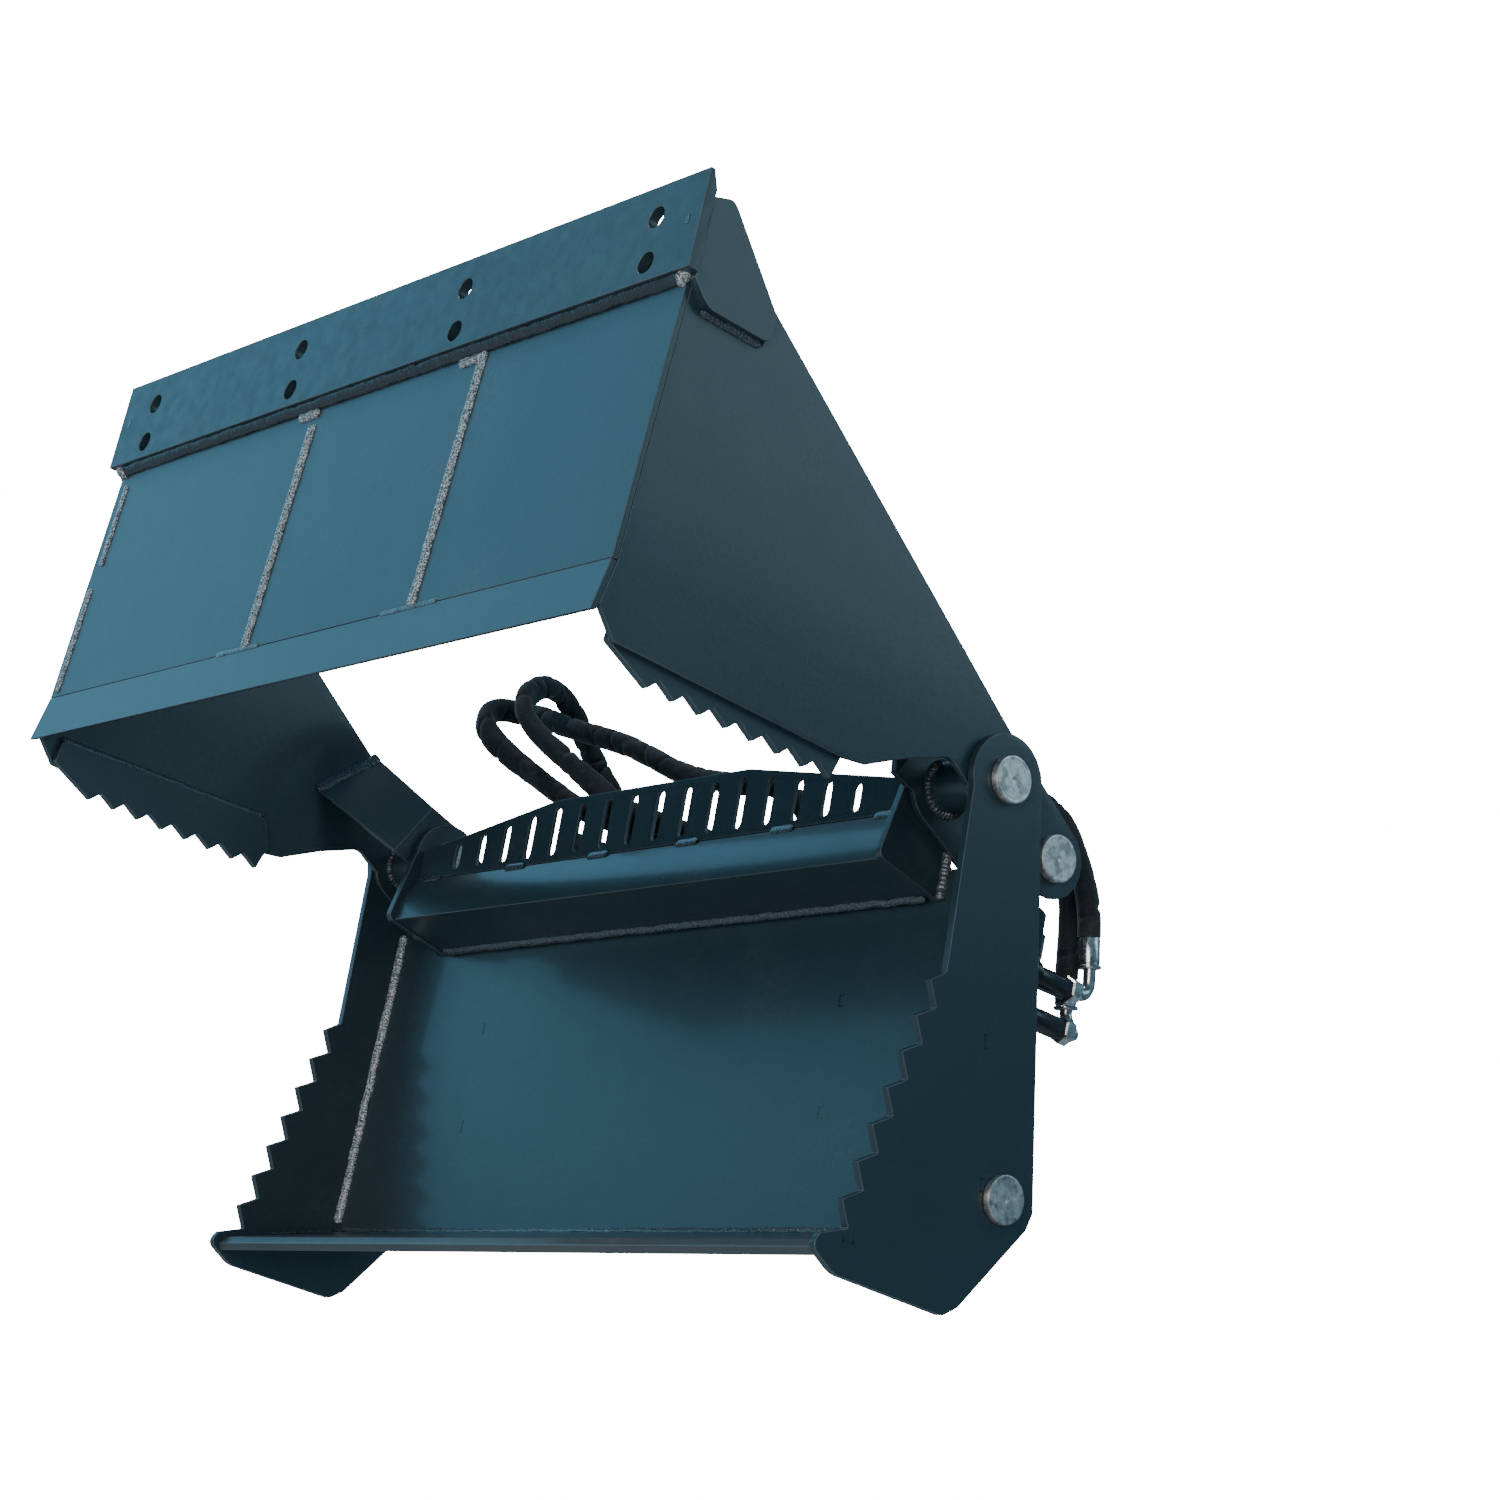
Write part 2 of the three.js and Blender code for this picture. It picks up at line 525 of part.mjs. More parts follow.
function cylinders() {
  const pieces = [['barrel', placed(barrel()), blackPaint], ['gland', placed(gland()), blackPaint],
    ['rod', placed(rod()), chrome],
    ['upper_port_elbow', placed(elbow(PORT_UP[0], 0)), zinc],
    ['lower_port_elbow', placed(elbow(PORT_UP[1], 22)), zinc]];
  for (const [side, sign] of SIDES) {
    for (const [name, geometry, material] of pieces) put(`${side}_${name}`, onSide(geometry, sign), material);
  }
}

// ---- hoses ---------------------------------------------------------------------------------------------
function manifold() {
  const block = outline([[backOuter(-50) + GAP, -50], [80, -50], [80, -92], [backOuter(-92) + GAP, -92]]);
  put('hose_manifold', crossPlate(block, -55, 55), zinc);
}

const UPPER_HOSE = [[450.75, 162, -127], [450.75, 162, -113], [447, 162, -88], [436, 163, -58], [418, 164, -26],
  [397, 158, 2], [366, 138, 22], [320, 108, 28], [260, 88, 16], [190, 78, -10], [130, 72, -38], [88, 67, -58],
  [70, 66, -62], [55.3, 66, -62]];
const LOWER_HOSE = [[428.75, 154.2, -166], [428.5, 155.5, -152], [424, 162, -118], [416, 169, -82], [401, 174, -50],
  [381, 172, -24], [351, 156, -6], [305, 126, 0], [250, 108, -12], [185, 88, -40], [130, 62, -68], [88, 42, -79],
  [70, 40, -80], [55.3, 40, -80]];
const SUPPLY_A = [[-25, 60, -49.7], [-25, 60, -34], [-46, 54, -6], [-96, 42, 14], [-150, 30, 30], [-186, 21, 44],
  [-212, 14, 60], [-251, 6, 85], [-284, -4, 109], [-309, -11, 130], [-325, -11, 147], [-336, -3, 160],
  [-343, 10, 169], [-346, 26, 174], [-342, 42, 173], [-326, 52, 168], [-301, 55, 162], [-269, 56, 150.5],
  [-229, 58, 138], [-187, 60, 126], [-145, 62, 111], [-104, 64, 93], [-66, 68, 76], [-20, 73, 63], [28, 81, 56],
  [64, 88, 50], [94, 94, 34], [109, 98, 12], [112, 100, -8], [107, 100, -29], [94, 100, -47], [75, 100, -59],
  [54, 100, -62], [38.3, 100, -62]];
const SUPPLY_B = [[25, 60, -49.7], [25, 60, -34], [4, 48, -6], [-40, 24, 12], [-93, 6, 32], [-122, -2, 55],
  [-156, -13, 83], [-188, -22, 109], [-211, -26, 128], [-230, -26, 149], [-245, -14, 169], [-255, 4, 182],
  [-265, 28, 190], [-277, 55, 187], [-284, 78, 173.5], [-285, 94.5, 151], [-277, 99, 132], [-267, 103, 113],
  [-250, 105, 89], [-222, 105, 54], [-186, 104, 14], [-146, 102, -22], [-110, 100, -46], [-80, 100, -59],
  [-58, 100, -62], [-42.6, 100, -62]];

function hoses() {
  for (const [side, sign] of SIDES) {
    for (const [name, route] of [['upper', UPPER_HOSE], ['lower', LOWER_HOSE]]) {
      const points = route.map(([x, y, z]) => [sign * x, y, z]);
      put(`${side}_${name}_hose`, tube(points, HOSE_R, 30), fabric);
    }
  }
  put('left_supply_hose', tube(SUPPLY_A, HOSE_R, 48), fabric);
  put('right_supply_hose', tube(SUPPLY_B, HOSE_R, 48), fabric);
}

// The two supply hoses end in a pair of quick couplers, which are plugged into each other when idle.
function quickCouplers() {
  const half = [[0, 0], [0, 17], [16, 17], [18, 14], [26, 14], [26, 10], [40, 10], [40, 0]];
  put('left_quick_coupler', turned(half.map(([x, r]) => [x - 2, r]), COUPLERS), zinc);
  const other = half.map(([x, r]) => [-2 - GAP - x, r]).reverse();
  put('right_quick_coupler', turned(other, COUPLERS), zinc);
}

// ---- quick-attach plate, in the level frame --------------------------------------------------------------
function attachPlate() {
  const half = PLATE_W / 2;
  const plate = new THREE.BoxGeometry(PLATE_W, PLATE_T, PLATE_HIGH - PLATE_LOW)
    .translate(0, -PLATE_T / 2, (PLATE_HIGH + PLATE_LOW) / 2);
  put('attach_plate', plate, blackPaint, group);
  const lip = outline([[-PLATE_T, PLATE_HIGH + GAP], [-2, PLATE_HIGH + GAP], [-2, 93], [26, 73], [32, 79],
    [1, 106], [-PLATE_T, 106]]);
  put('attach_top_lip', crossPlate(lip, -half, half), blackPaint, group);
  const shelf = new THREE.BoxGeometry(PLATE_W, PLATE_T + 45, PLATE_T)
    .translate(0, (45 - PLATE_T) / 2, PLATE_LOW - GAP - PLATE_T / 2);
  const slots = [-170, 170].map((x) => new THREE.BoxGeometry(40, 22, 3 * PLATE_T)
    .translate(x, 23, PLATE_LOW - GAP - PLATE_T / 2));
  put('attach_bottom_flange', cut(shelf, ...slots), blackPaint, group);
}

// Four ribs tie the attach plate to the back plate.
function mountRibs() {
  const tilt = THREE.MathUtils.degToRad(TILT);
  const level = ([y, z]) => [HINGE_Y + y * Math.cos(tilt) - z * Math.sin(tilt),
    HINGE_Z + y * Math.sin(tilt) + z * Math.cos(tilt)];
  const top = level([backOuter(-130) + 2 * GAP, -130]);
  const foot = level([backOuter(-340) + 2 * GAP, -340]);
  const shape = outline([[-PLATE_T - GAP, -95], [-PLATE_T - GAP, 98], top, foot]);
  [-235, -120, 120, 235].forEach((x, i) => {
    put(`mount_rib_${i + 1}`, crossPlate(shape, x - 5, x + 5), blackPaint, group);
  });
}

rearSides();
backPlate();
rearFloor();
topChannel();
spillGuard();
hingeGussets();
cylinderLugs();
headedPins();
clamSides();
clamArms();
hingeTubes();
clamFloor();
clamEdge();
toothStrips();
cornerPlates();
cylinders();
crankPins();
manifold();
hoses();
quickCouplers();
attachPlate();
mountRibs();

export default group;
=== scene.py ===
"""The looks of a four-in-one loader bucket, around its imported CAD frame. Metres, +X width, +Z up."""

import json
import math

import bmesh
import bpy
import numpy as np
from mathutils import Matrix, Vector

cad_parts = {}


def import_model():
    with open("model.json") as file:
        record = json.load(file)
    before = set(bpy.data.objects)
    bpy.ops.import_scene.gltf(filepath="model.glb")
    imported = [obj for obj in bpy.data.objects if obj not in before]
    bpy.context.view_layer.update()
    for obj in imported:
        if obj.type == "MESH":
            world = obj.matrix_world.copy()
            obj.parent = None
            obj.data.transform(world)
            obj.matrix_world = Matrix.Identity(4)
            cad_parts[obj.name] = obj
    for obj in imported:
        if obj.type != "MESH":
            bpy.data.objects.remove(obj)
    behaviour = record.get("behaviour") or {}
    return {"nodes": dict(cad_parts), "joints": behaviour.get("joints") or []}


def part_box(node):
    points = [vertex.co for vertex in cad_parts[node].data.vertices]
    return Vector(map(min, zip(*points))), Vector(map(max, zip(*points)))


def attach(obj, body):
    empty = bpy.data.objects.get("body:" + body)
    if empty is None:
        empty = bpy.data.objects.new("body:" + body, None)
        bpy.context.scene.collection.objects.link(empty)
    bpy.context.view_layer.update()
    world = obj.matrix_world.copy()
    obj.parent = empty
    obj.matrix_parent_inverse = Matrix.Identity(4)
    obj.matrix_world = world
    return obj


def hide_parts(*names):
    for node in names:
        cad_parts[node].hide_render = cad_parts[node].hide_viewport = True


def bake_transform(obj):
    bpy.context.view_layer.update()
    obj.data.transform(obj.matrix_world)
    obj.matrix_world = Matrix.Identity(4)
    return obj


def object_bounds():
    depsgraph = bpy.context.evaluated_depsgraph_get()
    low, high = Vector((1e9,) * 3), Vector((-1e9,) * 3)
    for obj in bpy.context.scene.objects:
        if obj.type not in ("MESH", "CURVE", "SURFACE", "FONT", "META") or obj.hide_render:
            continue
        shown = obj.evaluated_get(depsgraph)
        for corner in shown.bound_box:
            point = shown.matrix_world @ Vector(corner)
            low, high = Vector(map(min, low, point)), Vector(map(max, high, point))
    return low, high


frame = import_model()
CAD_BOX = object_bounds()

# ---- places, all from the frame ----
MM = 0.001
JOINTS = {joint["name"]: joint for joint in frame["joints"]}
HINGE = Vector(JOINTS["clam_hinge"]["pos_m"])
TILT = math.radians(30)                       # from the level frame to the side plates' own frame
SIDE_FRAME = Matrix.Translation(HINGE) @ Matrix.Rotation(TILT, 4, "X")
LEVEL = Matrix.Identity(4)
SIDES = (("left", -1), ("right", 1))

BASE_PIN = (0, -387 * MM)                     # [y, z] in the side plates' frame
CRANK = (71 * MM, -65 * MM)
PIN_FACE = 500.3 * MM                         # where the hinge and cylinder pins' heads start
CRANK_FACE = 490.8 * MM
CLAM_SIDE_IN = 484.5 * MM
CLAM_SIDE_OUT = 490.5 * MM
REAR_SIDE_IN = 491.7 * MM                     # the rear side plates' inner face
REAR_SIDE_OUT = 500 * MM
BACK_LEAN = math.radians(12.1)
BACK_FOOT = np.array([-65.3, -418.5]) * MM
BACK_T = 5 * MM


def cylinder_frame(side):
    """Origin on the cylinder's base pin, +Z along its rod, +X across the bucket."""
    along = Vector(JOINTS[f"{side}_rod_slide"]["axis"]).normalized()
    across = Vector((1, 0, 0))
    out = along.cross(across)
    turn = Matrix((across, out, along)).transposed().to_4x4()
    return Matrix.Translation(JOINTS[f"{side}_cylinder_swing"]["pos_m"]) @ turn


def unit(vector):
    vector = np.asarray(vector, float)
    return vector / np.linalg.norm(vector)


# ---- camera ----
def camera():
    """Low, in front and to the right of the bucket, and looking up. Its place is given from the hinge."""
    data = bpy.data.cameras.new("camera")
    data.lens = 78.39
    data.sensor_width = 36
    right = Vector((0.64760, 0.64320, 0.40854))
    up = Vector((0.11052, -0.60978, 0.78483))
    back = Vector((0.75392, -0.46310, -0.46598))
    obj = bpy.data.objects.new("camera", data)
    obj.matrix_world = Matrix((right, up, back)).transposed().to_4x4()
    obj.location = HINGE + Vector((2.6376, -1.5786, -1.4914))
    bpy.context.scene.collection.objects.link(obj)
    bpy.context.scene.camera = obj


# ---- node materials ----
class Nodes:
    """A short way to write a material's node tree."""

    def __init__(self, name):
        self.material = bpy.data.materials.new(name)
        self.material.use_nodes = True
        self.tree = self.material.node_tree
        self.shader = self.tree.nodes["Principled BSDF"]
        self.object_xyz = self.tree.nodes.new("ShaderNodeTexCoord").outputs["Object"]

    def link(self, source, target):
        self.tree.links.new(source, target)

    def noise(self, scale, detail=3.0, roughness=0.55, where=None):
        node = self.tree.nodes.new("ShaderNodeTexNoise")
        node.inputs["Scale"].default_value = scale
        node.inputs["Detail"].default_value = detail
        node.inputs["Roughness"].default_value = roughness
        self.link(where or self.object_xyz, node.inputs["Vector"])
        return node.outputs["Fac"]

    def spread(self, source, low, high, to_low=0.0, to_high=1.0):
        """The value's stretch from low to high, mapped on to_low to to_high."""
        node = self.tree.nodes.new("ShaderNodeMapRange")
        node.inputs["From Min"].default_value = low
        node.inputs["From Max"].default_value = high
        node.inputs["To Min"].default_value = to_low
        node.inputs["To Max"].default_value = to_high
        self.link(source, node.inputs["Value"])
        return node.outputs["Result"]

    def times(self, a, b):
        node = self.tree.nodes.new("ShaderNodeMath")
        node.operation = "MULTIPLY"
        for index, value in enumerate((a, b)):
            if isinstance(value, (int, float)):
                node.inputs[index].default_value = value
            else:
                self.link(value, node.inputs[index])
        return node.outputs[0]

    def mix(self, factor, a, b):
        node = self.tree.nodes.new("ShaderNodeMix")
        node.data_type = "RGBA"
        self.link(factor, node.inputs["Factor"])
        for name, colour in (("A", a), ("B", b)):
            socket = next(s for s in node.inputs if s.name == name and s.type == "RGBA")
            if isinstance(colour, tuple):
                socket.default_value = (*colour, 1.0)
            else:
                self.link(colour, socket)
        return next(s for s in node.outputs if s.type == "RGBA")

    def bump(self, height, strength, distance, below=None):
        node = self.tree.nodes.new("ShaderNodeBump")
        node.inputs["Strength"].default_value = strength
        node.inputs["Distance"].default_value = distance
        self.link(height, node.inputs["Height"])
        if below is not None:
            self.link(below, node.inputs["Normal"])
        return node.outputs["Normal"]

    def set(self, **values):
        """Sockets of the shader, by name with _ for a space: a number, a colour or another node's output."""
        for name, value in values.items():
            socket = self.shader.inputs[name.replace("_", " ")]
            if isinstance(value, bpy.types.NodeSocket):
                self.link(value, socket)
            elif isinstance(value, tuple):
                socket.default_value = (*value, 1.0)
            else:
                socket.default_value = value
        return self.material


def paint(name, colour, deeper, roughness, peel=1.0, dust=0.5):
    """Sprayed enamel: orange peel, slow colour drift, and dry dust in patches."""
    n = Nodes(name)
    drift = n.spread(n.noise(2.6, 1.5), 0.35, 0.65)
    coat = n.mix(drift, colour, deeper)
    patches = n.spread(n.noise(7.0, 4.0), 0.56, 0.78)
    grit = n.spread(n.noise(160.0, 5.0, 0.7), 0.42, 0.72)
    dusty = n.times(n.times(patches, grit), dust)
    specks = n.times(n.spread(n.noise(900.0, 2.0), 0.66, 0.72), 0.35 * dust)
    shown = n.mix(dusty, coat, (0.105, 0.108, 0.105))
    shown = n.mix(specks, shown, (0.14, 0.12, 0.10))
    rough = n.spread(n.noise(28.0, 5.0), 0.3, 0.7, roughness - 0.015, roughness + 0.025)
    waves = n.bump(n.noise(260.0, 2.0, 0.5), 0.22 * peel, 0.6 * MM)
    fine = n.bump(n.noise(1500.0, 2.0, 0.5), 0.10 * peel, 0.15 * MM, waves)
    return n.set(Base_Color=shown, Roughness=rough, Normal=fine, Coat_Weight=0.35, Coat_Roughness=0.12)


def rusty_paint(name, colour, deeper, roughness):
    """The same enamel over mill scale, with faint brown speckle."""
    n = Nodes(name)
    coat = n.mix(n.spread(n.noise(3.0, 1.5), 0.35, 0.65), colour, deeper)
    areas = n.spread(n.noise(14.0, 4.0), 0.52, 0.72)
    speckle = n.spread(n.noise(420.0, 4.0, 0.7), 0.52, 0.66)
    rust = n.times(n.times(areas, speckle), 0.55)
    shown = n.mix(rust, coat, (0.115, 0.075, 0.052))
    rough = n.spread(n.noise(60.0, 4.0), 0.3, 0.7, roughness - 0.03, roughness + 0.12)
    waves = n.bump(n.noise(320.0, 3.0, 0.55), 0.28, 0.6 * MM)
    return n.set(Base_Color=shown, Roughness=rough, Normal=waves, Coat_Weight=0.25, Coat_Roughness=0.15)


def weld_paint(name, valley, crest):
    """Enamel over weld metal: thicker and glossier, with painted highlights as bright spots and painted shade
    as near-black spots in its hollows.
    """
    n = Nodes(name)
    # Painted highlights: random spots of the bead take the lighter colour in place of glints from the lights.
    painted_glints = n.spread(n.noise(560.0, 3.0, 0.65), 0.46, 0.62)
    # Painted shade: random spots darkened nearly to black, as shade in the weld's hollows.
    pit_shade = n.spread(n.noise(330.0, 2.0), 0.60, 0.70)
    shown = n.mix(painted_glints, valley, crest)
    shown = n.mix(pit_shade, shown, (0.006, 0.007, 0.008))
    rough = n.spread(n.noise(500.0, 2.0), 0.3, 0.7, 0.10, 0.32)
    lumps = n.bump(n.noise(480.0, 3.0), 0.9, 1.2 * MM)
    return n.set(Base_Color=shown, Roughness=rough, Normal=lumps, Coat_Weight=0.8, Coat_Roughness=0.05)


def zinc(name, colour=(0.62, 0.64, 0.65), roughness=0.34):
    """Zinc-plated steel: mottled crystals, faint stains and fine scratches."""
    n = Nodes(name)
    crystals = n.spread(n.noise(170.0, 4.0, 0.7), 0.36, 0.64)
    stains = n.spread(n.noise(75.0, 3.0), 0.50, 0.66)
    darker = tuple(0.62 * part for part in colour)
    shown = n.mix(crystals, darker, colour)
    shown = n.mix(n.times(stains, 0.75), shown, (0.30, 0.28, 0.26))
    rough = n.spread(n.noise(240.0, 3.0), 0.3, 0.7, roughness - 0.08, roughness + 0.12)
    dents = n.bump(n.noise(420.0, 4.0, 0.6), 0.16, 0.4 * MM)
    return n.set(Base_Color=shown, Metallic=0.95, Roughness=rough, Normal=dents)


def chrome():
    n = Nodes("chrome_plate")
    smear = n.spread(n.noise(90.0, 4.0), 0.35, 0.7, 0.05, 0.14)
    film = n.mix(n.spread(n.noise(30.0, 4.0), 0.5, 0.8), (0.78, 0.79, 0.80), (0.55, 0.55, 0.53))
    return n.set(Base_Color=film, Metallic=1.0, Roughness=smear)


def sleeve_fabric():
    """Woven nylon hose sleeve: a fine slanted weave, with lint and dust in the folds."""
    n = Nodes("hose_sleeve")
    uv = n.tree.nodes.new("ShaderNodeUVMap")
    uv.uv_map = "route"
    warp = n.tree.nodes.new("ShaderNodeTexChecker")
    warp.inputs["Scale"].default_value = 1.0
    stretch = n.tree.nodes.new("ShaderNodeMapping")
    stretch.inputs["Scale"].default_value = (700.0, 700.0, 1.0)
    stretch.inputs["Rotation"].default_value = (0.0, 0.0, math.radians(45))
    n.link(uv.outputs["UV"], stretch.inputs["Vector"])
    n.link(stretch.outputs["Vector"], warp.inputs["Vector"])
    lint = n.times(n.spread(n.noise(80.0, 5.0, 0.7), 0.5, 0.75), 0.5)
    thread = n.mix(warp.outputs["Fac"], (0.010, 0.012, 0.014), (0.022, 0.026, 0.030))
    shown = n.mix(lint, thread, (0.060, 0.070, 0.078))
    weave = n.bump(warp.outputs["Fac"], 0.35, 0.3 * MM)
    folds = n.bump(n.noise(120.0, 4.0), 0.35, 1.5 * MM, weave)
    return n.set(Base_Color=shown, Roughness=0.72, Normal=folds, Sheen_Weight=0.35, Sheen_Roughness=0.4)


DARK = paint("dark_enamel", (0.026, 0.052, 0.065), (0.020, 0.042, 0.054), 0.34)
FLOOR_PAINT = rusty_paint("edge_enamel", (0.028, 0.055, 0.068), (0.022, 0.044, 0.056), 0.36)
BLACK = paint("black_enamel", (0.010, 0.012, 0.014), (0.014, 0.016, 0.018), 0.24, peel=0.8, dust=0.35)
# A lighter paint for eased edges: a painted highlight along them, with heavier dust.
EDGE_HIGHLIGHT_AND_DUST = paint("edge_highlight_and_dust", (0.13, 0.15, 0.16), (0.07, 0.09, 0.10), 0.34, peel=0.6, dust=0.9)
# The rear cutting edge in a lighter grey than the other plates: partly dust, partly a painted highlight along
# its lip.
LIP_PAINT = rusty_paint("lip_enamel", (0.085, 0.092, 0.094), (0.050, 0.062, 0.068), 0.38)
WELD = weld_paint("weld_paint", (0.024, 0.038, 0.046), (0.11, 0.13, 0.14))
# Weld paint with a light base and near-white spots: painted highlights on the beads.
WELD_PAINTED_BRIGHT = weld_paint("weld_painted_highlight", (0.11, 0.13, 0.14), (0.85, 0.88, 0.90))
# Near-black weld paint: painted shade on the seam in the recess under the cutting edge; the tab marks' own
# dark lines use it too.
WELD_SHADE_AND_MARKS = weld_paint("weld_painted_shade_and_marks", (0.008, 0.011, 0.013), (0.022, 0.028, 0.031))
ZINC = zinc("zinc_plate")
BRIGHT = zinc("bright_zinc", (0.80, 0.80, 0.80), 0.20)
PIN_ZINC = zinc("pin_zinc", (0.98, 0.90, 0.86), 0.36)
TURNED = zinc("turned_steel", (1.0, 0.93, 0.88), 0.44)
CHROME = chrome()
SLEEVE = sleeve_fabric()


# ---- mesh tools ----
def skin(rings, closed=False):
    """Points and faces through rings of points, capped at both ends or closed on itself."""
    count = len(rings)
    around = len(rings[0])
    faces = []
    for i in range(count if closed else count - 1):
        low = i * around
        high = (i + 1) % count * around
        for k in range(around):
            n = (k + 1) % around
            faces.append((low + k, low + n, high + n, high + k))
    if not closed:
        faces.append(tuple(range(around))[::-1])
        faces.append(tuple(range((count - 1) * around, count * around)))
    return np.concatenate(rings), faces


def joined(shapes):
    """One set of points and faces from several."""
    points, faces, start = [], [], 0
    for some, over in shapes:
        points.append(some)
        faces += [tuple(start + k for k in face) for face in over]
        start += len(some)
    return np.concatenate(points), faces


def piece(name, body, material, shape, place=SIDE_FRAME, sharp=38, replaces=()):
    """A mesh object that rides on a body."""
    points, faces = shape
    mesh = bpy.data.meshes.new(name)
    mesh.from_pydata([place @ Vector(p) for p in points], [], faces)
    work = bmesh.new()
    work.from_mesh(mesh)
    bmesh.ops.recalc_face_normals(work, faces=work.faces)
    work.to_mesh(mesh)
    work.free()
    mesh.shade_smooth()
    mesh.set_sharp_from_angle(angle=math.radians(sharp))
    mesh.materials.append(material)
    obj = bpy.data.objects.new(name, mesh)
    bpy.context.scene.collection.objects.link(obj)
    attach(obj, body)
    if replaces:
        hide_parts(*replaces)
    return obj


def turned(profile, centre=(0, 0), segments=56, closed=False):
    """A shape turned about an axis along X, from [x, radius] points."""
    angles = np.linspace(0, 2 * math.pi, segments, endpoint=False)
    rings = [np.column_stack([np.full(segments, x), centre[0] + r * np.cos(angles),
             centre[1] + r * np.sin(angles)]) for x, r in profile]
    return skin(rings, closed)


def flipped(shape, sign):
    """The shape, mirrored across X for the left side."""
    points, faces = shape
    return points * np.array([sign, 1, 1]), faces


def in_mm(profile):
    """The points of a profile that is given in millimetres, in metres."""
    return [(along * MM, radius * MM) for along, radius in profile]


def along_z(shape):
    """A shape that was turned about X, stood up along Z."""
    points, faces = shape
    return points[:, [1, 2, 0]], faces


def slow_noise(rng, s, pitch, size):
    """A smooth random line along s, with one knot per pitch."""
    knots = np.arange(s[0] - pitch, s[-1] + 2 * pitch, pitch)
    return np.interp(s, knots, rng.normal(0, size, len(knots)))


# ---- weld beads ----
RIPPLE = 3.6 * MM
BEAD_STEP = 0.9 * MM


def bead(start, stop, across, out, half, height, root, seed):
    """A rippled weld bead from start to stop. It is 2 half wide, stands height proud along out,
    and its back lies root below."""
    rng = np.random.default_rng(seed)
    start = np.array(start, float)
    run = np.array(stop, float) - start
    length = np.linalg.norm(run)
    along = run / length
    s = np.linspace(0, length, max(6, int(length / BEAD_STEP)))
    phase = s / RIPPLE + slow_noise(rng, s, 12 * MM, 0.35)
    crest = 1 - (phase % 1.0)
    swell = 1 + slow_noise(rng, s, 5 * MM, 0.09)
    taper = np.sqrt(np.clip((np.minimum(s, length - s) + 0.5 * MM) / (3.5 * MM), 0.03, 1))
    tall = height * swell * taper * (0.80 + 0.28 * crest)
    wide = half * taper * (1 + slow_noise(rng, s, 7 * MM, 0.06)) * (0.97 + 0.05 * crest)
    drift = slow_noise(rng, s, 20 * MM, 0.35 * MM)
    across = unit(across)
    out = unit(out)
    rings = []
    for i, here in enumerate(s):
        base = start + here * along + drift[i] * across
        ring = [base - root * out]
        for angle in np.linspace(0, math.pi, 8):
            lag = 1.3 * MM * math.sin(angle) - 0.6 * MM
            ring.append(base + wide[i] * math.cos(angle) * across + tall[i] * math.sin(angle) * out
                        + lag * taper[i] * along)
        rings.append(np.array(ring))
    return skin(rings)


def fillet(start, stop, a, b, leg, seed):
    """A fillet weld from start to stop, in the corner of two surfaces that lead away along a and b."""
    a = unit(a)
    b = unit(b)
    middle = (a + b) * leg / 2
    deep = np.linalg.norm(middle)
    return bead(np.array(start) + middle, np.array(stop) + middle, a - b, a + b,
                np.linalg.norm(a - b) * leg / 2, 0.24 * leg, deep, seed)


def ring_bead(x, centre, radius, size, seed, direction=1):
    """A fillet weld round a tube along X, where its end meets a plate at x."""
    rng = np.random.default_rng(seed)
    count = max(40, int(2 * math.pi * radius / (1.2 * MM)))
    angles = np.linspace(0, 2 * math.pi, count, endpoint=False)
    bumps = 1 + 0.14 * np.sin(angles * round(2 * math.pi * radius / RIPPLE)) + rng.normal(0, 0.05, count)
    rings = []
    for angle, bump in zip(angles, bumps):
        radial = np.array([0, math.cos(angle), math.sin(angle)])
        middle = np.array([x, centre[0], centre[1]]) + radial * radius
        corner = middle - radial * 1 * MM
        ring = [corner]
        for turn in np.linspace(0, math.pi / 2, 6):
            ring.append(middle + bump * size * (math.sin(turn) * direction * np.array([1, 0, 0])
                        + math.cos(turn) * radial))
        rings.append(np.array(ring))
    return skin(rings, closed=True)


# ---- cords ----
HOSE_R = 12.5 * MM
UPPER_HOSE = [(0.45075, 0.162, -0.127), (0.45075, 0.162, -0.113), (0.447, 0.162, -0.088),
              (0.436, 0.163, -0.058), (0.418, 0.164, -0.026), (0.397, 0.158, 0.002), (0.366, 0.138, 0.022),
              (0.32, 0.108, 0.028), (0.26, 0.088, 0.016), (0.19, 0.078, -0.01), (0.13, 0.072, -0.038),
              (0.088, 0.067, -0.058), (0.07, 0.066, -0.062), (0.0553, 0.066, -0.062)]
LOWER_HOSE = [(0.42875, 0.1542, -0.166), (0.4285, 0.1555, -0.152), (0.424, 0.162, -0.118),
              (0.416, 0.169, -0.082), (0.401, 0.174, -0.05), (0.381, 0.172, -0.024),
              (0.351, 0.156, -0.006), (0.305, 0.126, 0.0), (0.25, 0.108, -0.012), (0.185, 0.088, -0.04),
              (0.13, 0.062, -0.068), (0.088, 0.042, -0.079), (0.07, 0.04, -0.08), (0.0553, 0.04, -0.08)]
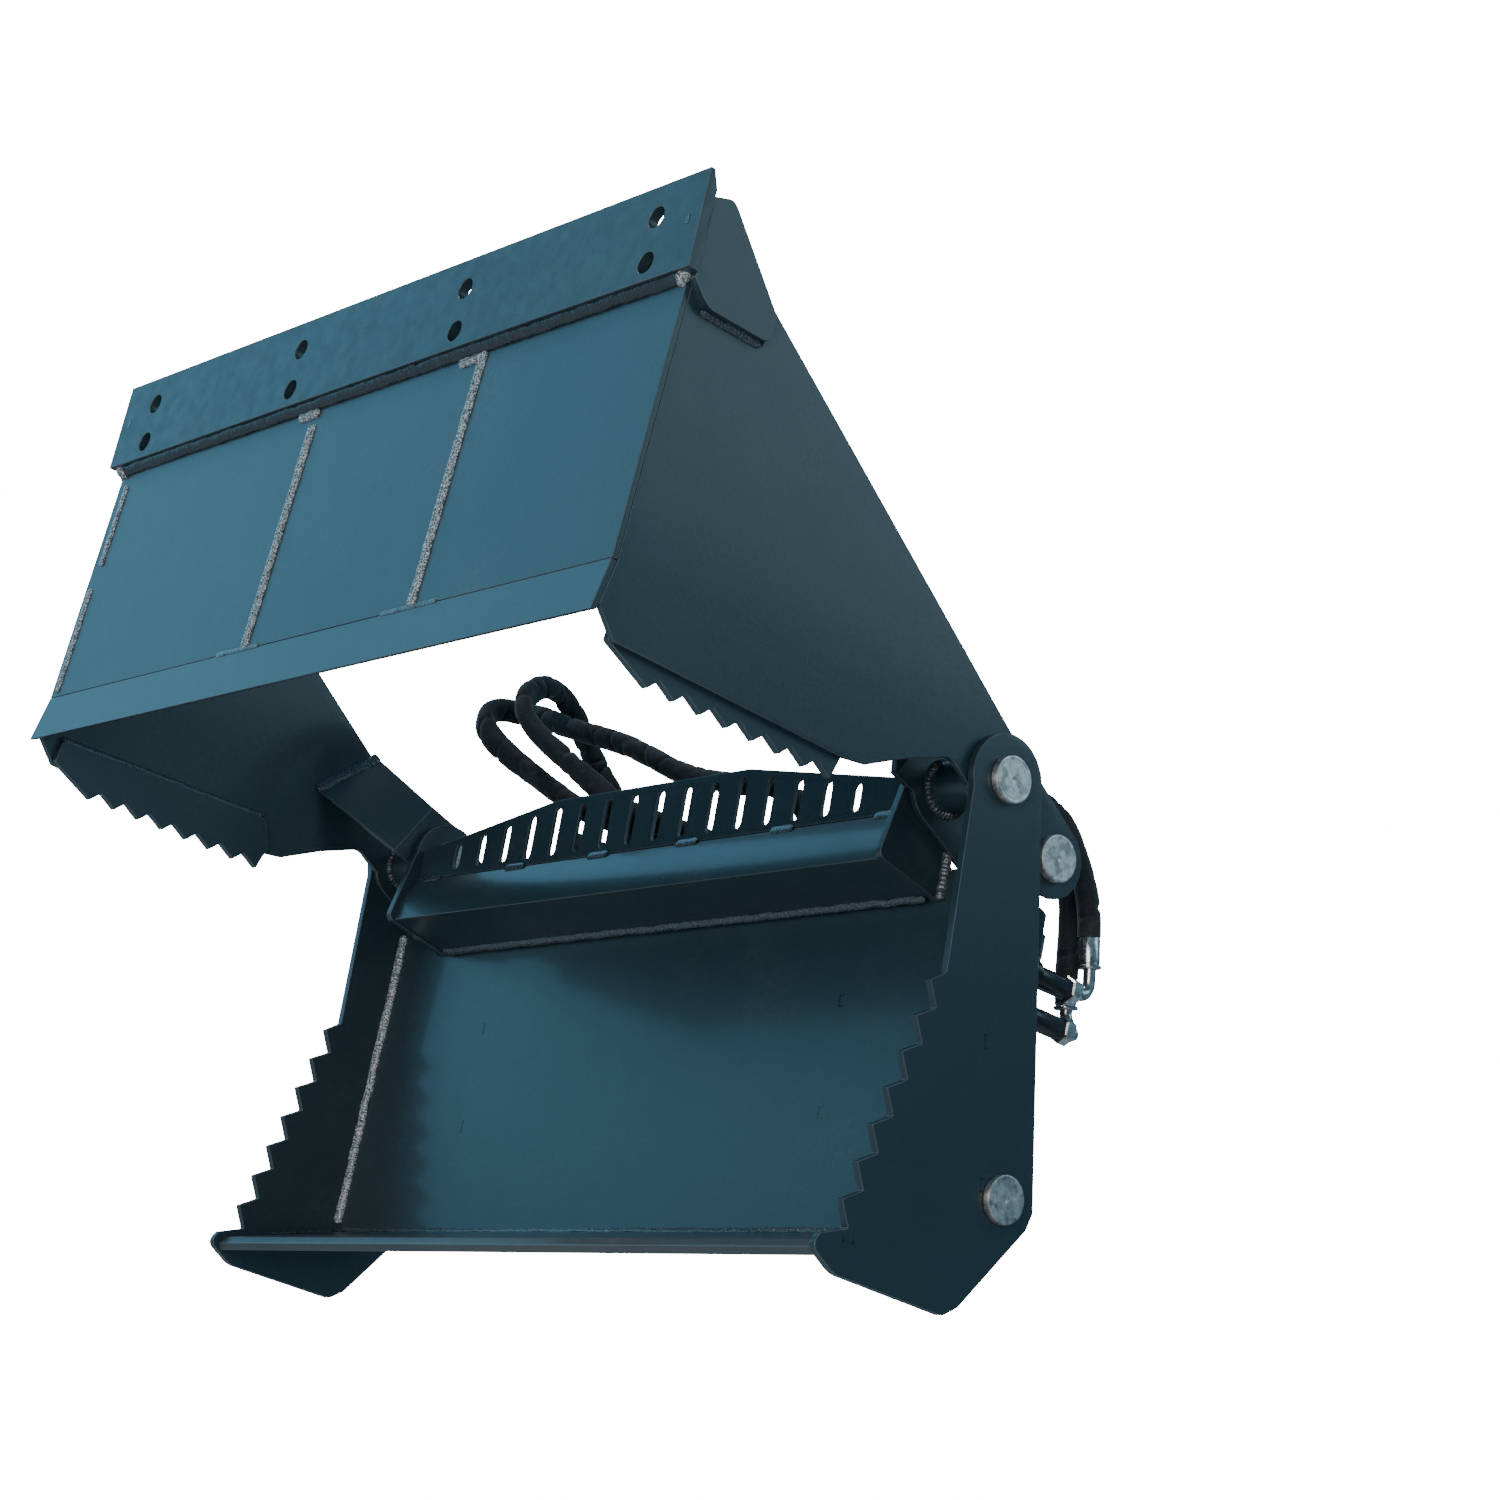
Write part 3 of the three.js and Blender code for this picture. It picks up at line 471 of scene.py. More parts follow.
SUPPLY_A = [(-0.025, 0.06, -0.0497), (-0.025, 0.06, -0.034), (-0.046, 0.054, -0.006),
            (-0.096, 0.042, 0.014), (-0.15, 0.03, 0.03), (-0.186, 0.021, 0.044), (-0.212, 0.014, 0.06),
            (-0.251, 0.006, 0.085), (-0.284, -0.004, 0.109), (-0.309, -0.011, 0.13),
            (-0.325, -0.011, 0.147), (-0.336, -0.003, 0.16), (-0.343, 0.01, 0.169), (-0.346, 0.026, 0.174),
            (-0.342, 0.042, 0.173), (-0.326, 0.052, 0.168), (-0.301, 0.055, 0.162),
            (-0.269, 0.056, 0.1505), (-0.229, 0.058, 0.138), (-0.187, 0.06, 0.126), (-0.145, 0.062, 0.111),
            (-0.104, 0.064, 0.093), (-0.066, 0.068, 0.076), (-0.02, 0.073, 0.063), (0.028, 0.081, 0.056),
            (0.064, 0.088, 0.05), (0.094, 0.094, 0.034), (0.109, 0.098, 0.012), (0.112, 0.1, -0.008),
            (0.107, 0.1, -0.029), (0.094, 0.1, -0.047), (0.075, 0.1, -0.059), (0.054, 0.1, -0.062),
            (0.0383, 0.1, -0.062)]
SUPPLY_B = [(0.025, 0.06, -0.0497), (0.025, 0.06, -0.034), (0.004, 0.048, -0.006), (-0.04, 0.024, 0.012),
            (-0.093, 0.006, 0.032), (-0.122, -0.002, 0.055), (-0.156, -0.013, 0.083),
            (-0.188, -0.022, 0.109), (-0.211, -0.026, 0.128), (-0.23, -0.026, 0.149),
            (-0.245, -0.014, 0.169), (-0.255, 0.004, 0.182), (-0.265, 0.028, 0.19), (-0.277, 0.055, 0.187),
            (-0.284, 0.078, 0.1735), (-0.285, 0.0945, 0.151), (-0.277, 0.099, 0.132),
            (-0.267, 0.103, 0.113), (-0.25, 0.105, 0.089), (-0.222, 0.105, 0.054), (-0.186, 0.104, 0.014),
            (-0.146, 0.102, -0.022), (-0.11, 0.1, -0.046), (-0.08, 0.1, -0.059), (-0.058, 0.1, -0.062),
            (-0.0426, 0.1, -0.062)]


def smooth_route(points, step=1.6 * MM):
    """Points every step along a centripetal Catmull-Rom curve through the given ones."""
    p = np.array(points, float)
    p = np.vstack([2 * p[0] - p[1], p, 2 * p[-1] - p[-2]])
    fine = []
    for i in range(1, len(p) - 2):
        q0, q1, q2, q3 = p[i - 1:i + 3]
        t1 = max(np.linalg.norm(q1 - q0), 1e-9) ** 0.5
        t2 = t1 + np.linalg.norm(q2 - q1) ** 0.5
        t3 = t2 + max(np.linalg.norm(q3 - q2), 1e-9) ** 0.5
        for t in np.linspace(t1, t2, 24, endpoint=False):
            a1 = (t1 - t) / t1 * q0 + t / t1 * q1
            a2 = (t2 - t) / (t2 - t1) * q1 + (t - t1) / (t2 - t1) * q2
            a3 = (t3 - t) / (t3 - t2) * q2 + (t - t2) / (t3 - t2) * q3
            b1 = (t2 - t) / t2 * a1 + t / t2 * a2
            b2 = (t3 - t) / (t3 - t1) * a2 + (t - t1) / (t3 - t1) * a3
            fine.append((t2 - t) / (t2 - t1) * b1 + (t - t1) / (t2 - t1) * b2)
    fine.append(p[-2])
    fine = np.array(fine)
    s = np.concatenate([[0], np.cumsum(np.linalg.norm(np.diff(fine, axis=0), axis=1))])
    even = np.linspace(0, s[-1], int(s[-1] / step) + 1)
    return np.column_stack([np.interp(even, s, fine[:, k]) for k in range(3)])


def directions(line):
    """Along, side and up vectors at each point, carried along without twist."""
    along = np.gradient(line, axis=0)
    along /= np.linalg.norm(along, axis=1)[:, None]
    side = np.cross(along[0], [0, 0, 1] if abs(along[0][2]) < 0.9 else [0, 1, 0])
    sides = []
    for step in along:
        side = side - side.dot(step) * step
        side /= np.linalg.norm(side)
        sides.append(side)
    sides = np.array(sides)
    return along, sides, np.cross(along, sides)


CREASE_REACH = 22 * MM
CREASE_WIDTH = 2.8 * MM
SLEEVE_MEAN = 0.93                            # of the hose's radius, where the folds fade at the ends


def sleeved_hose(name, route, sign, seed):
    """A hose in a fabric sleeve that creases across, folds lengthwise and lies a little flat. Returns the
    piece and the hose's middle line."""
    rng = np.random.default_rng(seed)
    line = smooth_route([(sign * x, y, z) for x, y, z in route])
    _, sides, ups = directions(line)
    s = np.arange(len(line)) * np.linalg.norm(line[1] - line[0])
    around = 32
    angles = np.linspace(0, 2 * math.pi, around, endpoint=False)
    flat = 0.10 + slow_noise(rng, s, 60 * MM, 0.04)
    lean = slow_noise(rng, s, 90 * MM, 0.9)
    fold = slow_noise(rng, s, 45 * MM, 1.1)
    fold_deep = 0.035 + np.abs(slow_noise(rng, s, 30 * MM, 0.035))
    crease_at = np.cumsum(rng.uniform(14 * MM, 46 * MM, int(s[-1] / (20 * MM)) + 4))
    crease_turn = rng.uniform(0, 2 * math.pi, len(crease_at))
    crease_deep = rng.uniform(0.10, 0.26, len(crease_at))
    crease_skew = rng.uniform(-11 * MM, 11 * MM, len(crease_at))
    creases = (crease_at, crease_turn, crease_deep, crease_skew)
    ends = np.clip(np.minimum(s, s[-1] - s) / (12 * MM), 0, 1)
    rings = []
    for i, centre in enumerate(line):
        near = np.abs(s[i] - crease_at) < CREASE_REACH
        radius = 1.0 + flat[i] * np.cos(2 * (angles - lean[i]))
        radius = radius - fold_deep[i] * (0.5 + 0.5 * np.cos(3 * (angles - fold[i]))) ** 3
        for at, turn, cut, skew in zip(*(values[near] for values in creases)):
            away = s[i] - at + skew * np.sin(angles - turn)
            facing = (0.5 + 0.5 * np.cos(angles - turn)) ** 1.5
            radius = radius - cut * facing * np.exp(-(away / CREASE_WIDTH) ** 2)
        radius = HOSE_R * (SLEEVE_MEAN + (radius - SLEEVE_MEAN) * (0.25 + 0.75 * ends[i]))
        rings.append(centre + np.cos(angles)[:, None] * radius[:, None] * sides[i]
                     + np.sin(angles)[:, None] * radius[:, None] * ups[i])
    obj = piece(name, "root", SLEEVE, skin(rings), sharp=60,
                replaces=[name.replace("_sleeve", "")])
    layer = obj.data.uv_layers.new(name="route")
    loops = np.zeros(len(obj.data.loops), int)
    obj.data.loops.foreach_get("vertex_index", loops)
    uv = np.column_stack([loops % around / around * 2 * math.pi * HOSE_R, s[loops // around]])
    layer.data.foreach_set("uv", uv.astype(np.float32).ravel())
    path = [SIDE_FRAME @ Vector(p) for p in line[::3]] + [SIDE_FRAME @ Vector(line[-1])]
    return obj, path


UPPER_LENGTH = 0.5282                         # along each route
LOWER_LENGTH = 0.5306
SUPPLY_A_LENGTH = 1.0694
SUPPLY_B_LENGTH = 0.855


def cylinder_hoses():
    """The four hoses from the cylinders' elbows to the manifold."""
    for seed, (side, sign) in enumerate(SIDES):
        for which, route, length in (("upper", UPPER_HOSE, UPPER_LENGTH),
                                     ("lower", LOWER_HOSE, LOWER_LENGTH)):
            obj, path = sleeved_hose(f"{side}_{which}_hose_sleeve", route, sign, 40 + seed)
            world = obj.matrix_world.copy()
            obj.parent = None
            obj.matrix_world = world
            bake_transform(obj)


def supply_hoses(couplers):
    """The two hoses from the manifold, which loop up to the left and end in the quick couplers."""
    for side, route, length, seed in (("left", SUPPLY_A, SUPPLY_A_LENGTH, 50),
                                      ("right", SUPPLY_B, SUPPLY_B_LENGTH, 51)):
        obj, path = sleeved_hose(f"{side}_supply_hose_sleeve", route, 1, seed)


# ---- steelwork that the CAD gives ----
PIERCED = {"spill_guard", "clam_cutting_edge", "rear_cutting_edge", "attach_bottom_flange", "left_side_plate",
           "right_side_plate", "left_clam_side", "right_clam_side", "back_plate"}


def dress(node, material, bevel=0.7 * MM):
    """The CAD node's own mesh, with its edges eased and its new finish. Unless it is black or zinc, the eased
    edges take a lighter, dustier paint: a painted highlight along them. A node with holes keeps its
    triangles."""
    obj = frame["nodes"][node]
    obj.data.materials.clear()
    obj.data.materials.append(material)
    obj.data.polygons.foreach_set("use_smooth", [True] * len(obj.data.polygons))
    weld = obj.modifiers.new("weld", "WELD")
    weld.merge_threshold = 0.02 * MM
    if node not in PIERCED:
        flat = obj.modifiers.new("flat", "DECIMATE")
        flat.decimate_type = "DISSOLVE"
        flat.angle_limit = math.radians(1.5)
    ease = obj.modifiers.new("ease", "BEVEL")
    ease.width = bevel
    ease.segments = 2
    ease.limit_method = "ANGLE"
    ease.angle_limit = math.radians(32)
    ease.use_clamp_overlap = False
    ease.miter_outer = "MITER_ARC"
    # The painted plates' eased edges take a lighter paint: a painted highlight along the edges, with dust.
    if material in (DARK, FLOOR_PAINT, LIP_PAINT):
        obj.data.materials.append(EDGE_HIGHLIGHT_AND_DUST)
        ease.material = 1
    normals = obj.modifiers.new("normals", "WEIGHTED_NORMAL")
    normals.keep_sharp = True
    normals.weight = 90
    return obj


def steelwork():
    """The finish and the slot of the nodes that keep their CAD mesh."""
    dark = ["back_plate", "rear_floor_plate", "top_channel", "spill_guard", "clam_floor", "clam_rear_blade"]
    edges = (("clam_cutting_edge", FLOOR_PAINT), ("rear_cutting_edge", LIP_PAINT))
    for side, _ in SIDES:
        dark += [f"{side}_side_plate", f"{side}_hinge_gusset", f"{side}_cylinder_lug", f"{side}_clam_side",
                 f"{side}_inner_arm", f"{side}_hinge_tube", f"{side}_tooth_strip", f"{side}_corner_plate"]
    for node in dark:
        dress(node, DARK)
    for node, material in edges:
        dress(node, material)
    black = ["attach_plate", "attach_top_lip", "attach_bottom_flange"]
    for node in (*black, *(f"mount_rib_{k}" for k in range(1, 5))):
        dress(node, BLACK, 1 * MM)
    dress("hose_manifold", ZINC, 1.2 * MM)


# ---- pins ----
PIN_R = 15 * MM


def pin_head(face):
    """The head's profile: a rolled rim, a shallow turned face and a centre mark."""
    marks = [(face + 8 * MM, 21 * MM)]
    for k in range(9):
        radius = (20 - 2 * k) * MM
        marks += [(face + 7.72 * MM, radius), (face + 7.80 * MM, radius - 1 * MM)]
    return [(face, PIN_R), (face, 22.2 * MM), (face + 0.8 * MM, 23 * MM), (face + 6.6 * MM, 23 * MM),
            (face + 7.6 * MM, 22.4 * MM), *marks, (face + 7.3 * MM, 1.4 * MM), (face + 7.0 * MM, 0.2 * MM)]


def pins():
    """The hinge, cylinder and crank pins, and the collars inside the hinges."""
    shank = [*in_mm([(385, 0.2), (385, 12.5)]), (387.5 * MM, PIN_R)]
    for side, sign in SIDES:
        for what, centre in (("hinge", (0, 0)), ("cylinder", BASE_PIN)):
            shape = flipped(turned([*shank, *pin_head(PIN_FACE)], centre), sign)
            piece(f"{side}_{what}_pin_turned", "root", PIN_ZINC, shape,
                  replaces=[f"{side}_{what}_pin"])
        head = turned([(481 * MM, 0.2 * MM), (481 * MM, PIN_R), *pin_head(CRANK_FACE)], CRANK)
        piece(f"{side}_crank_pin_turned", "clamshell", TURNED, flipped(head, sign),
              replaces=[f"{side}_crank_pin"])
        core = turned(in_mm([(421, 0.2), (421, 15), (480, 15), (480, 0.2)]), CRANK)
        piece(f"{side}_crank_pin_core_turned", f"{side}_cylinder_rod", ZINC,
              flipped(core, sign), replaces=[f"{side}_crank_pin_core"])
        collar = turned(in_mm([(389, 15.4), (389, 22), (390, 23), (399.7, 23), (400.6, 22.2), (400.6, 15.4)]),
                        closed=True)
        piece(f"{side}_hinge_collar_turned", "root", ZINC, flipped(collar, sign),
              replaces=[f"{side}_hinge_collar"])


# ---- weld seams ----
def deep(x, yz):
    """The point x across the bucket and [y, z] in side view."""
    return np.array([x, yz[0], yz[1]])


BACK_UP = np.array([math.sin(BACK_LEAN), math.cos(BACK_LEAN)])
BACK_OUT = np.array([-math.cos(BACK_LEAN), math.sin(BACK_LEAN)])      # towards the digging side
FLOOR_FALL = math.radians(4.7)
FLOOR_ON = np.array([-math.cos(FLOOR_FALL), -math.sin(FLOOR_FALL)])   # forward along the rear floor
FLOOR_RISE = np.array([-math.sin(FLOOR_FALL), math.cos(FLOOR_FALL)])
CLAM_TOP = np.array([-395.3, 398.3]) * MM     # clamshell floor's outer face, under the cutting edge
CLAM_BEND = np.array([-467, 132]) * MM        # where that floor meets the rear blade
CLAM_UP = unit(CLAM_TOP - CLAM_BEND)
CLAM_OUT = np.array([-CLAM_UP[1], CLAM_UP[0]])
ACROSS = np.array([1, 0, 0])
SEAM_END = 486 * MM                           # how far from the middle the rear seams run
RIB_PLATE = -10 * MM                          # [y] of the mounting plate's face that the ribs stand on


def back_inner(z):
    """The back plate's inner face in side view, at height z."""
    return BACK_FOOT + BACK_UP * (z - BACK_FOOT[1]) / BACK_UP[1]


def back_outer(z):
    inner = back_inner(z)
    return inner + np.array([BACK_T / BACK_UP[1], 0])


def side_fillet(side, x, yz0, yz1, a, b, leg, seed):
    """A fillet in side view: a and b are [across, y, z], with across positive away from the middle."""
    flip = np.array([side, 1, 1])
    return fillet(deep(side * x, yz0), deep(side * x, yz1), flip * a, flip * b, leg, seed)


def rear_welds():
    """The rear section's seams. Those beside the back plate are painted bright, as a painted highlight."""
    shapes = []
    highlit_seams = []
    for seed, (_, side) in enumerate(SIDES):
        highlit_seams.append(side_fillet(side, REAR_SIDE_IN, back_inner(-410 * MM), back_inner(-78 * MM),
                                (-1, 0, 0), deep(0, BACK_OUT), 6.5 * MM, 100 + seed))
        shapes.append(side_fillet(side, REAR_SIDE_IN, BACK_FOOT + 6 * MM * FLOOR_ON,
                                  BACK_FOOT + 86 * MM * FLOOR_ON, (-1, 0, 0), deep(0, FLOOR_RISE), 3 * MM,
                                  102 + seed))
        shapes.append(side_fillet(side, 409.3 * MM, back_inner(-106 * MM), back_inner(-52 * MM),
                                  (1, 0, 0), deep(0, BACK_OUT), 7 * MM, 104 + seed))
        for face, turn in ((404, -1), (414, 1)):
            shapes.append(side_fillet(side, face * MM, back_outer(-412 * MM), back_outer(-333 * MM),
                                      (turn, 0, 0), deep(0, -BACK_OUT), 6 * MM, 106 + seed + face))
    shapes.append(fillet(deep(-SEAM_END, BACK_FOOT), deep(SEAM_END, BACK_FOOT), deep(0, BACK_UP),
                         deep(0, FLOOR_ON), 4 * MM, 110))
    step = BACK_FOOT + 100 * MM * FLOOR_ON - 6.2 * MM * FLOOR_RISE
    shapes.append(fillet(deep(-SEAM_END, step), deep(SEAM_END, step), deep(0, -FLOOR_ON),
                         deep(0, -FLOOR_RISE), 6.5 * MM, 111))
    lip = np.array([-2.3, -102]) * MM
    shapes.append(fillet(deep(-396 * MM, lip), deep(396 * MM, lip), deep(0, -BACK_UP), (0, -0.917, 0.398),
                         5 * MM, 112))
    foot = np.array([-41.3, -25.8]) * MM
    for k, x in enumerate((-372, -215, -68, 80, 228, 380)):
        shapes.append(fillet(deep((x - 17) * MM, foot), deep((x + 17) * MM, foot), (0, 0.17, 0.98),
                             (0, -0.665, -0.747), 4.5 * MM, 120 + k))
    piece("rear_welds", "root", WELD, joined(shapes), sharp=70)
    piece("back_plate_side_welds", "root", WELD_PAINTED_BRIGHT, joined(highlit_seams), sharp=70)


def down(distance):
    """The point on the clamshell floor's outer face that far below its top, in side view."""
    return CLAM_TOP - CLAM_UP * distance * MM + CLAM_OUT * 0.1 * MM


def floor_beads():
    """The beads on the clamshell's floor, painted bright as a highlight: two double runs down its middle, two
    runs by its left edge, and the short ones at their tops and at the corners."""
    shapes = []
    for k, (x, first, last) in enumerate(((-98, 25, 274), (190, 13, 275))):
        for pass_x in (-2.7, 2.7):
            here = (x + pass_x) * MM
            shapes.append(bead(deep(here, down(first)), deep(here, down(last)), ACROSS, deep(0, CLAM_OUT),
                               3.4 * MM, 3.1 * MM, 1 * MM, 200 + 10 * k + int(pass_x)))
    for k, (x, first, last) in enumerate(((-472, 21, 121), (-478, 147, 271))):
        shapes.append(bead(deep(x * MM, down(first)), deep(x * MM, down(last)), ACROSS, deep(0, CLAM_OUT),
                           4.2 * MM, 2.8 * MM, 1 * MM, 230 + k))
    for k, (x0, x1) in enumerate(((-128, -92), (152, 196))):
        shapes.append(bead(deep(x0 * MM, down(13)), deep(x1 * MM, down(12)), deep(0, CLAM_UP),
                           deep(0, CLAM_OUT), 5 * MM, 4.5 * MM, 1 * MM, 242 + k))
    for seed, (_, side) in enumerate(SIDES):
        nub = CLAM_TOP - CLAM_UP * 2 * MM
        shapes.append(bead(deep(side * 480 * MM, nub), deep(side * 494 * MM, nub), deep(0, CLAM_UP),
                           deep(0, CLAM_OUT), 8 * MM, 9 * MM, 3 * MM, 262 + seed))
    return shapes


def clam_side_welds(seed, side):
    """The fillets on one side of the clamshell: corner plate, tooth strip, arm, hinge tube and floor seam."""
    corner = np.array([[-381, 369], [-312, 353.4], [-301, 378]]) * MM
    strip = np.array([[-455, 86.3], [-198, 34.3]]) * MM
    arm = np.array([[-47, 122.7], [-127.6, 76.5]]) * MM
    inner = CLAM_BEND - CLAM_OUT * 6.2 * MM
    runs = ((CLAM_SIDE_OUT, corner[0], corner[1], (1, 0, 0), (0, -0.22, -0.975), 5),
            (CLAM_SIDE_OUT, corner[1], corner[2], (1, 0, 0), (0, 0.93, -0.37), 4.5),
            (CLAM_SIDE_IN, strip[0], strip[1], (-1, 0, 0), (0, 0.198, 0.98), 6.5),
            (CLAM_SIDE_IN, arm[0], arm[1], (-0.737, 0.293, -0.61), (0, -0.497, 0.868), 7),
            (CLAM_SIDE_IN, inner + CLAM_UP * 4 * MM, inner + CLAM_UP * 312 * MM, (-1, 0, 0),
             deep(0, -CLAM_OUT), 5.5))
    shapes = []
    for k, (x, first, last, a, b, leg) in enumerate(runs):
        shapes.append(side_fillet(side, x, first, last, a, b, leg * MM, 250 + 2 * k + seed))
    for x, direction, more in ((417, 1, 0), (484, -1, 1)):
        ring = ring_bead(x * MM, (0, 0), 24 * MM, 5 * MM, 264 + seed + 2 * more, direction)
        shapes.append(flipped(ring, side))
    return shapes


def clam_welds():
    """The clamshell's seams, the beads on its floor painted bright as a highlight, and the seam under its
    cutting edge, painted near-black as shade.
    """
    seams = []
    for k, (x0, x1) in enumerate(((-150, -70), (140, 232))):
        seams.append(bead(deep(x0 * MM, down(275)), deep(x1 * MM, down(275)), deep(0, CLAM_UP),
                          deep(0, CLAM_OUT), 3 * MM, 1.1 * MM, 1 * MM, 246 + k))
    for seed, (_, side) in enumerate(SIDES):
        seams += clam_side_welds(seed, side)
    recess = fillet(deep(-489 * MM, CLAM_TOP), deep(489 * MM, CLAM_TOP), deep(0, CLAM_OUT), deep(0, -CLAM_UP),
                    8.5 * MM, 240)
    piece("clam_welds", "clamshell", WELD, joined(seams), sharp=70)
    piece("clam_floor_beads", "clamshell", WELD_PAINTED_BRIGHT, joined(floor_beads()), sharp=70)
    # The seam under the cutting edge is painted near-black: painted shade in the recess.
    piece("clam_recess_weld", "clamshell", WELD_SHADE_AND_MARKS, recess, sharp=70)


def mount_welds():
    """The welds beside the mount's ribs, and along the top and bottom of its plate."""
    plates = []
    backs = []
    for k in range(1, 5):
        low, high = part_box(f"mount_rib_{k}")
        for turn, x in ((-1, low.x), (1, high.x)):
            plates.append(fillet((x, RIB_PLATE, -93 * MM), (x, RIB_PLATE, 92 * MM), (turn, 0, 0),
                                 (0, -1, 0), 6 * MM, 300 + 2 * k + turn))
            backs.append(fillet(deep(x, back_outer(-337 * MM)), deep(x, back_outer(-134 * MM)), (turn, 0, 0),
                                deep(0, -BACK_OUT), 6 * MM, 320 + 2 * k + turn))
    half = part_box("attach_plate")[1].x - 8 * MM
    for k, z in enumerate((70.2, -97.9)):
        for x0, x1 in ((-half, -120 * MM), (-60 * MM, 60 * MM), (120 * MM, half)):
            plates.append(bead((x0, RIB_PLATE, z * MM), (x1, RIB_PLATE, z * MM), (0, 0, 1), (0, -1, 0),
                               4.5 * MM, 2.4 * MM, 1 * MM, 340 + k))
    piece("attach_plate_welds", "root", WELD, joined(plates), LEVEL, sharp=70)
    piece("rib_welds", "root", WELD, joined(backs), sharp=70)


# ---- laser-cut tab marks ----
def slab(middle, a, b, c, halves):
    """A box round a middle, along three directions."""
    steps = [unit(way) * half for way, half in zip((a, b, c), halves)]
    corners = ((-1, -1), (1, -1), (1, 1), (-1, 1))
    rings = []
    for end in (-1, 1):
        rings.append(np.array([middle + end * steps[2] + i * steps[0] + j * steps[1] for i, j in corners]))
    return skin(rings)


def tab_mark(middle, across, up, wide, high):
    """The scribed outline of a tab, open at one side: three thin dark lines just proud of the plate."""
    out = np.cross(across, up)
    line = 0.6 * MM
    proud = 0.3 * MM
    across = unit(across)
    up = unit(up)
    shapes = [slab(middle - across * wide / 2, across, up, out, (line, high / 2 + line, proud))]
    for end in (-1, 1):
        shapes.append(slab(middle + up * end * high / 2, across, up, out, (wide / 2 + line, line, proud)))
    return shapes


def tab_marks():
    """The marks on the back plate and the rear side plates, and the dark tabs on the clamshell's edge."""
    rear = []
    for _, side in SIDES:
        for z in (-196, -304.5):
            rear += tab_mark(deep(side * 295 * MM, back_inner(z * MM)), side * ACROSS, deep(0, BACK_UP),
                             5 * MM, 11 * MM)
        for y, z, turn in ((-21, -245, 0), (-23, -375, 0), (-185, -430, 80)):
            c = math.cos(math.radians(turn))
            s = math.sin(math.radians(turn))
            rear += tab_mark(deep(side * REAR_SIDE_OUT, np.array([y, z]) * MM), np.array([0, c, s]),
                             np.array([0, -s, c]), 5 * MM, 12 * MM)
    piece("rear_tab_marks", "root", WELD_SHADE_AND_MARKS, joined(rear))
    rise = unit(np.array([22.5, 96.3]))
    foot = np.array([-407.3, 401.1]) * MM
    front = []
    for _, side in SIDES:
        front.append(slab(deep(side * 487 * MM, foot + rise * 50.5 * MM), ACROSS, deep(0, rise),
                          deep(0, (-rise[1], rise[0])), (2.6 * MM, 4.6 * MM, 0.3 * MM)))
    piece("clam_tab_marks", "clamshell", WELD_SHADE_AND_MARKS, joined(front))


# ---- cylinders ----
RETRACTED = 329.73 * MM                       # from the base pin to the rod's eye, at rest
PORTS = ((230 * MM, 0.0, "upper"), (190 * MM, 22 * MM, "lower"))


def lifted(shape, x=0.0, y=0.0, z=0.0):
    points, faces = shape
    return points + np.array([x, y, z]), faces


def along_y(shape):
    """A shape that was turned about X, laid along Y."""
    points, faces = shape
    return points[:, [2, 0, 1]], faces


def eye_shape(up, radius):
    """A pin eye with a bush that stands a little proud at both faces."""
    ring = [(-28, 15.6), (-28, 19), (-27.4, 19.4), (-26, 19.4), (-26, radius - 1.2), (-24.8, radius),
            (24.8, radius), (26, radius - 1.2), (26, 19.4), (27.4, 19.4), (28, 19), (28, 15.6)]
    return turned(in_mm(ring), (0, up), closed=True)


def round_weld(radius, up, size, seed):
    """A weld round the cylinder at height up, between a narrow part below and a wide one above."""
    return along_z(ring_bead(up, (0, 0), radius, size, seed, -1))


def barrel_shapes():
    """The barrel's tube, base plug and eye, its two port stubs, and the oil pipe with its straps."""
    shell = [(34, 25.2), (34, 29.5), (36.5, 32), (240, 32), (241, 32.8), (261, 32.8), (262, 31.8),
             (262, 25.2)]
    tube = along_z(turned(in_mm(shell), closed=True))
    plug = along_z(turned(in_mm([(30, 0.2), (30, 25), (44, 25), (44, 0.2)])))
    shapes = [tube, plug, eye_shape(0, 30 * MM), round_weld(26 * MM, 34 * MM, 6 * MM, 400)]
    stub = [(27, 11.5), (34, 14.5), (37, 14.8), (39, 12.2), (40, 11), (80.5, 11), (82, 10.2), (82, 6.5),
            (60, 6.5)]
    for up, _, _ in PORTS:
        shapes.append(lifted(along_y(turned(in_mm(stub), segments=36)), z=up))
    pipe = [(30, 60), (36, 62), (38, 70), (38, 110), (38, 150), (38, 164)]
    line = smooth_route([(0, out, up) for out, up in in_mm(pipe)])
    shapes.append(round_tube(line, 6 * MM, 20))
    for up in (92 * MM, 134 * MM):
        strap = [(up - 6 * MM, 32.1 * MM), (up - 6 * MM, 33.2 * MM), (up + 6 * MM, 33.2 * MM),
                 (up + 6 * MM, 32.1 * MM)]
        shapes.append(along_z(turned(strap, closed=True)))
    return shapes


def round_tube(line, radius, around):
    """A round bar along a line."""
    _, sides, ups = directions(line)
    angles = np.linspace(0, 2 * math.pi, around, endpoint=False)
    rings = [centre + radius * (np.cos(angles)[:, None] * side + np.sin(angles)[:, None] * up)
             for centre, side, up in zip(line, sides, ups)]
    return skin(rings)


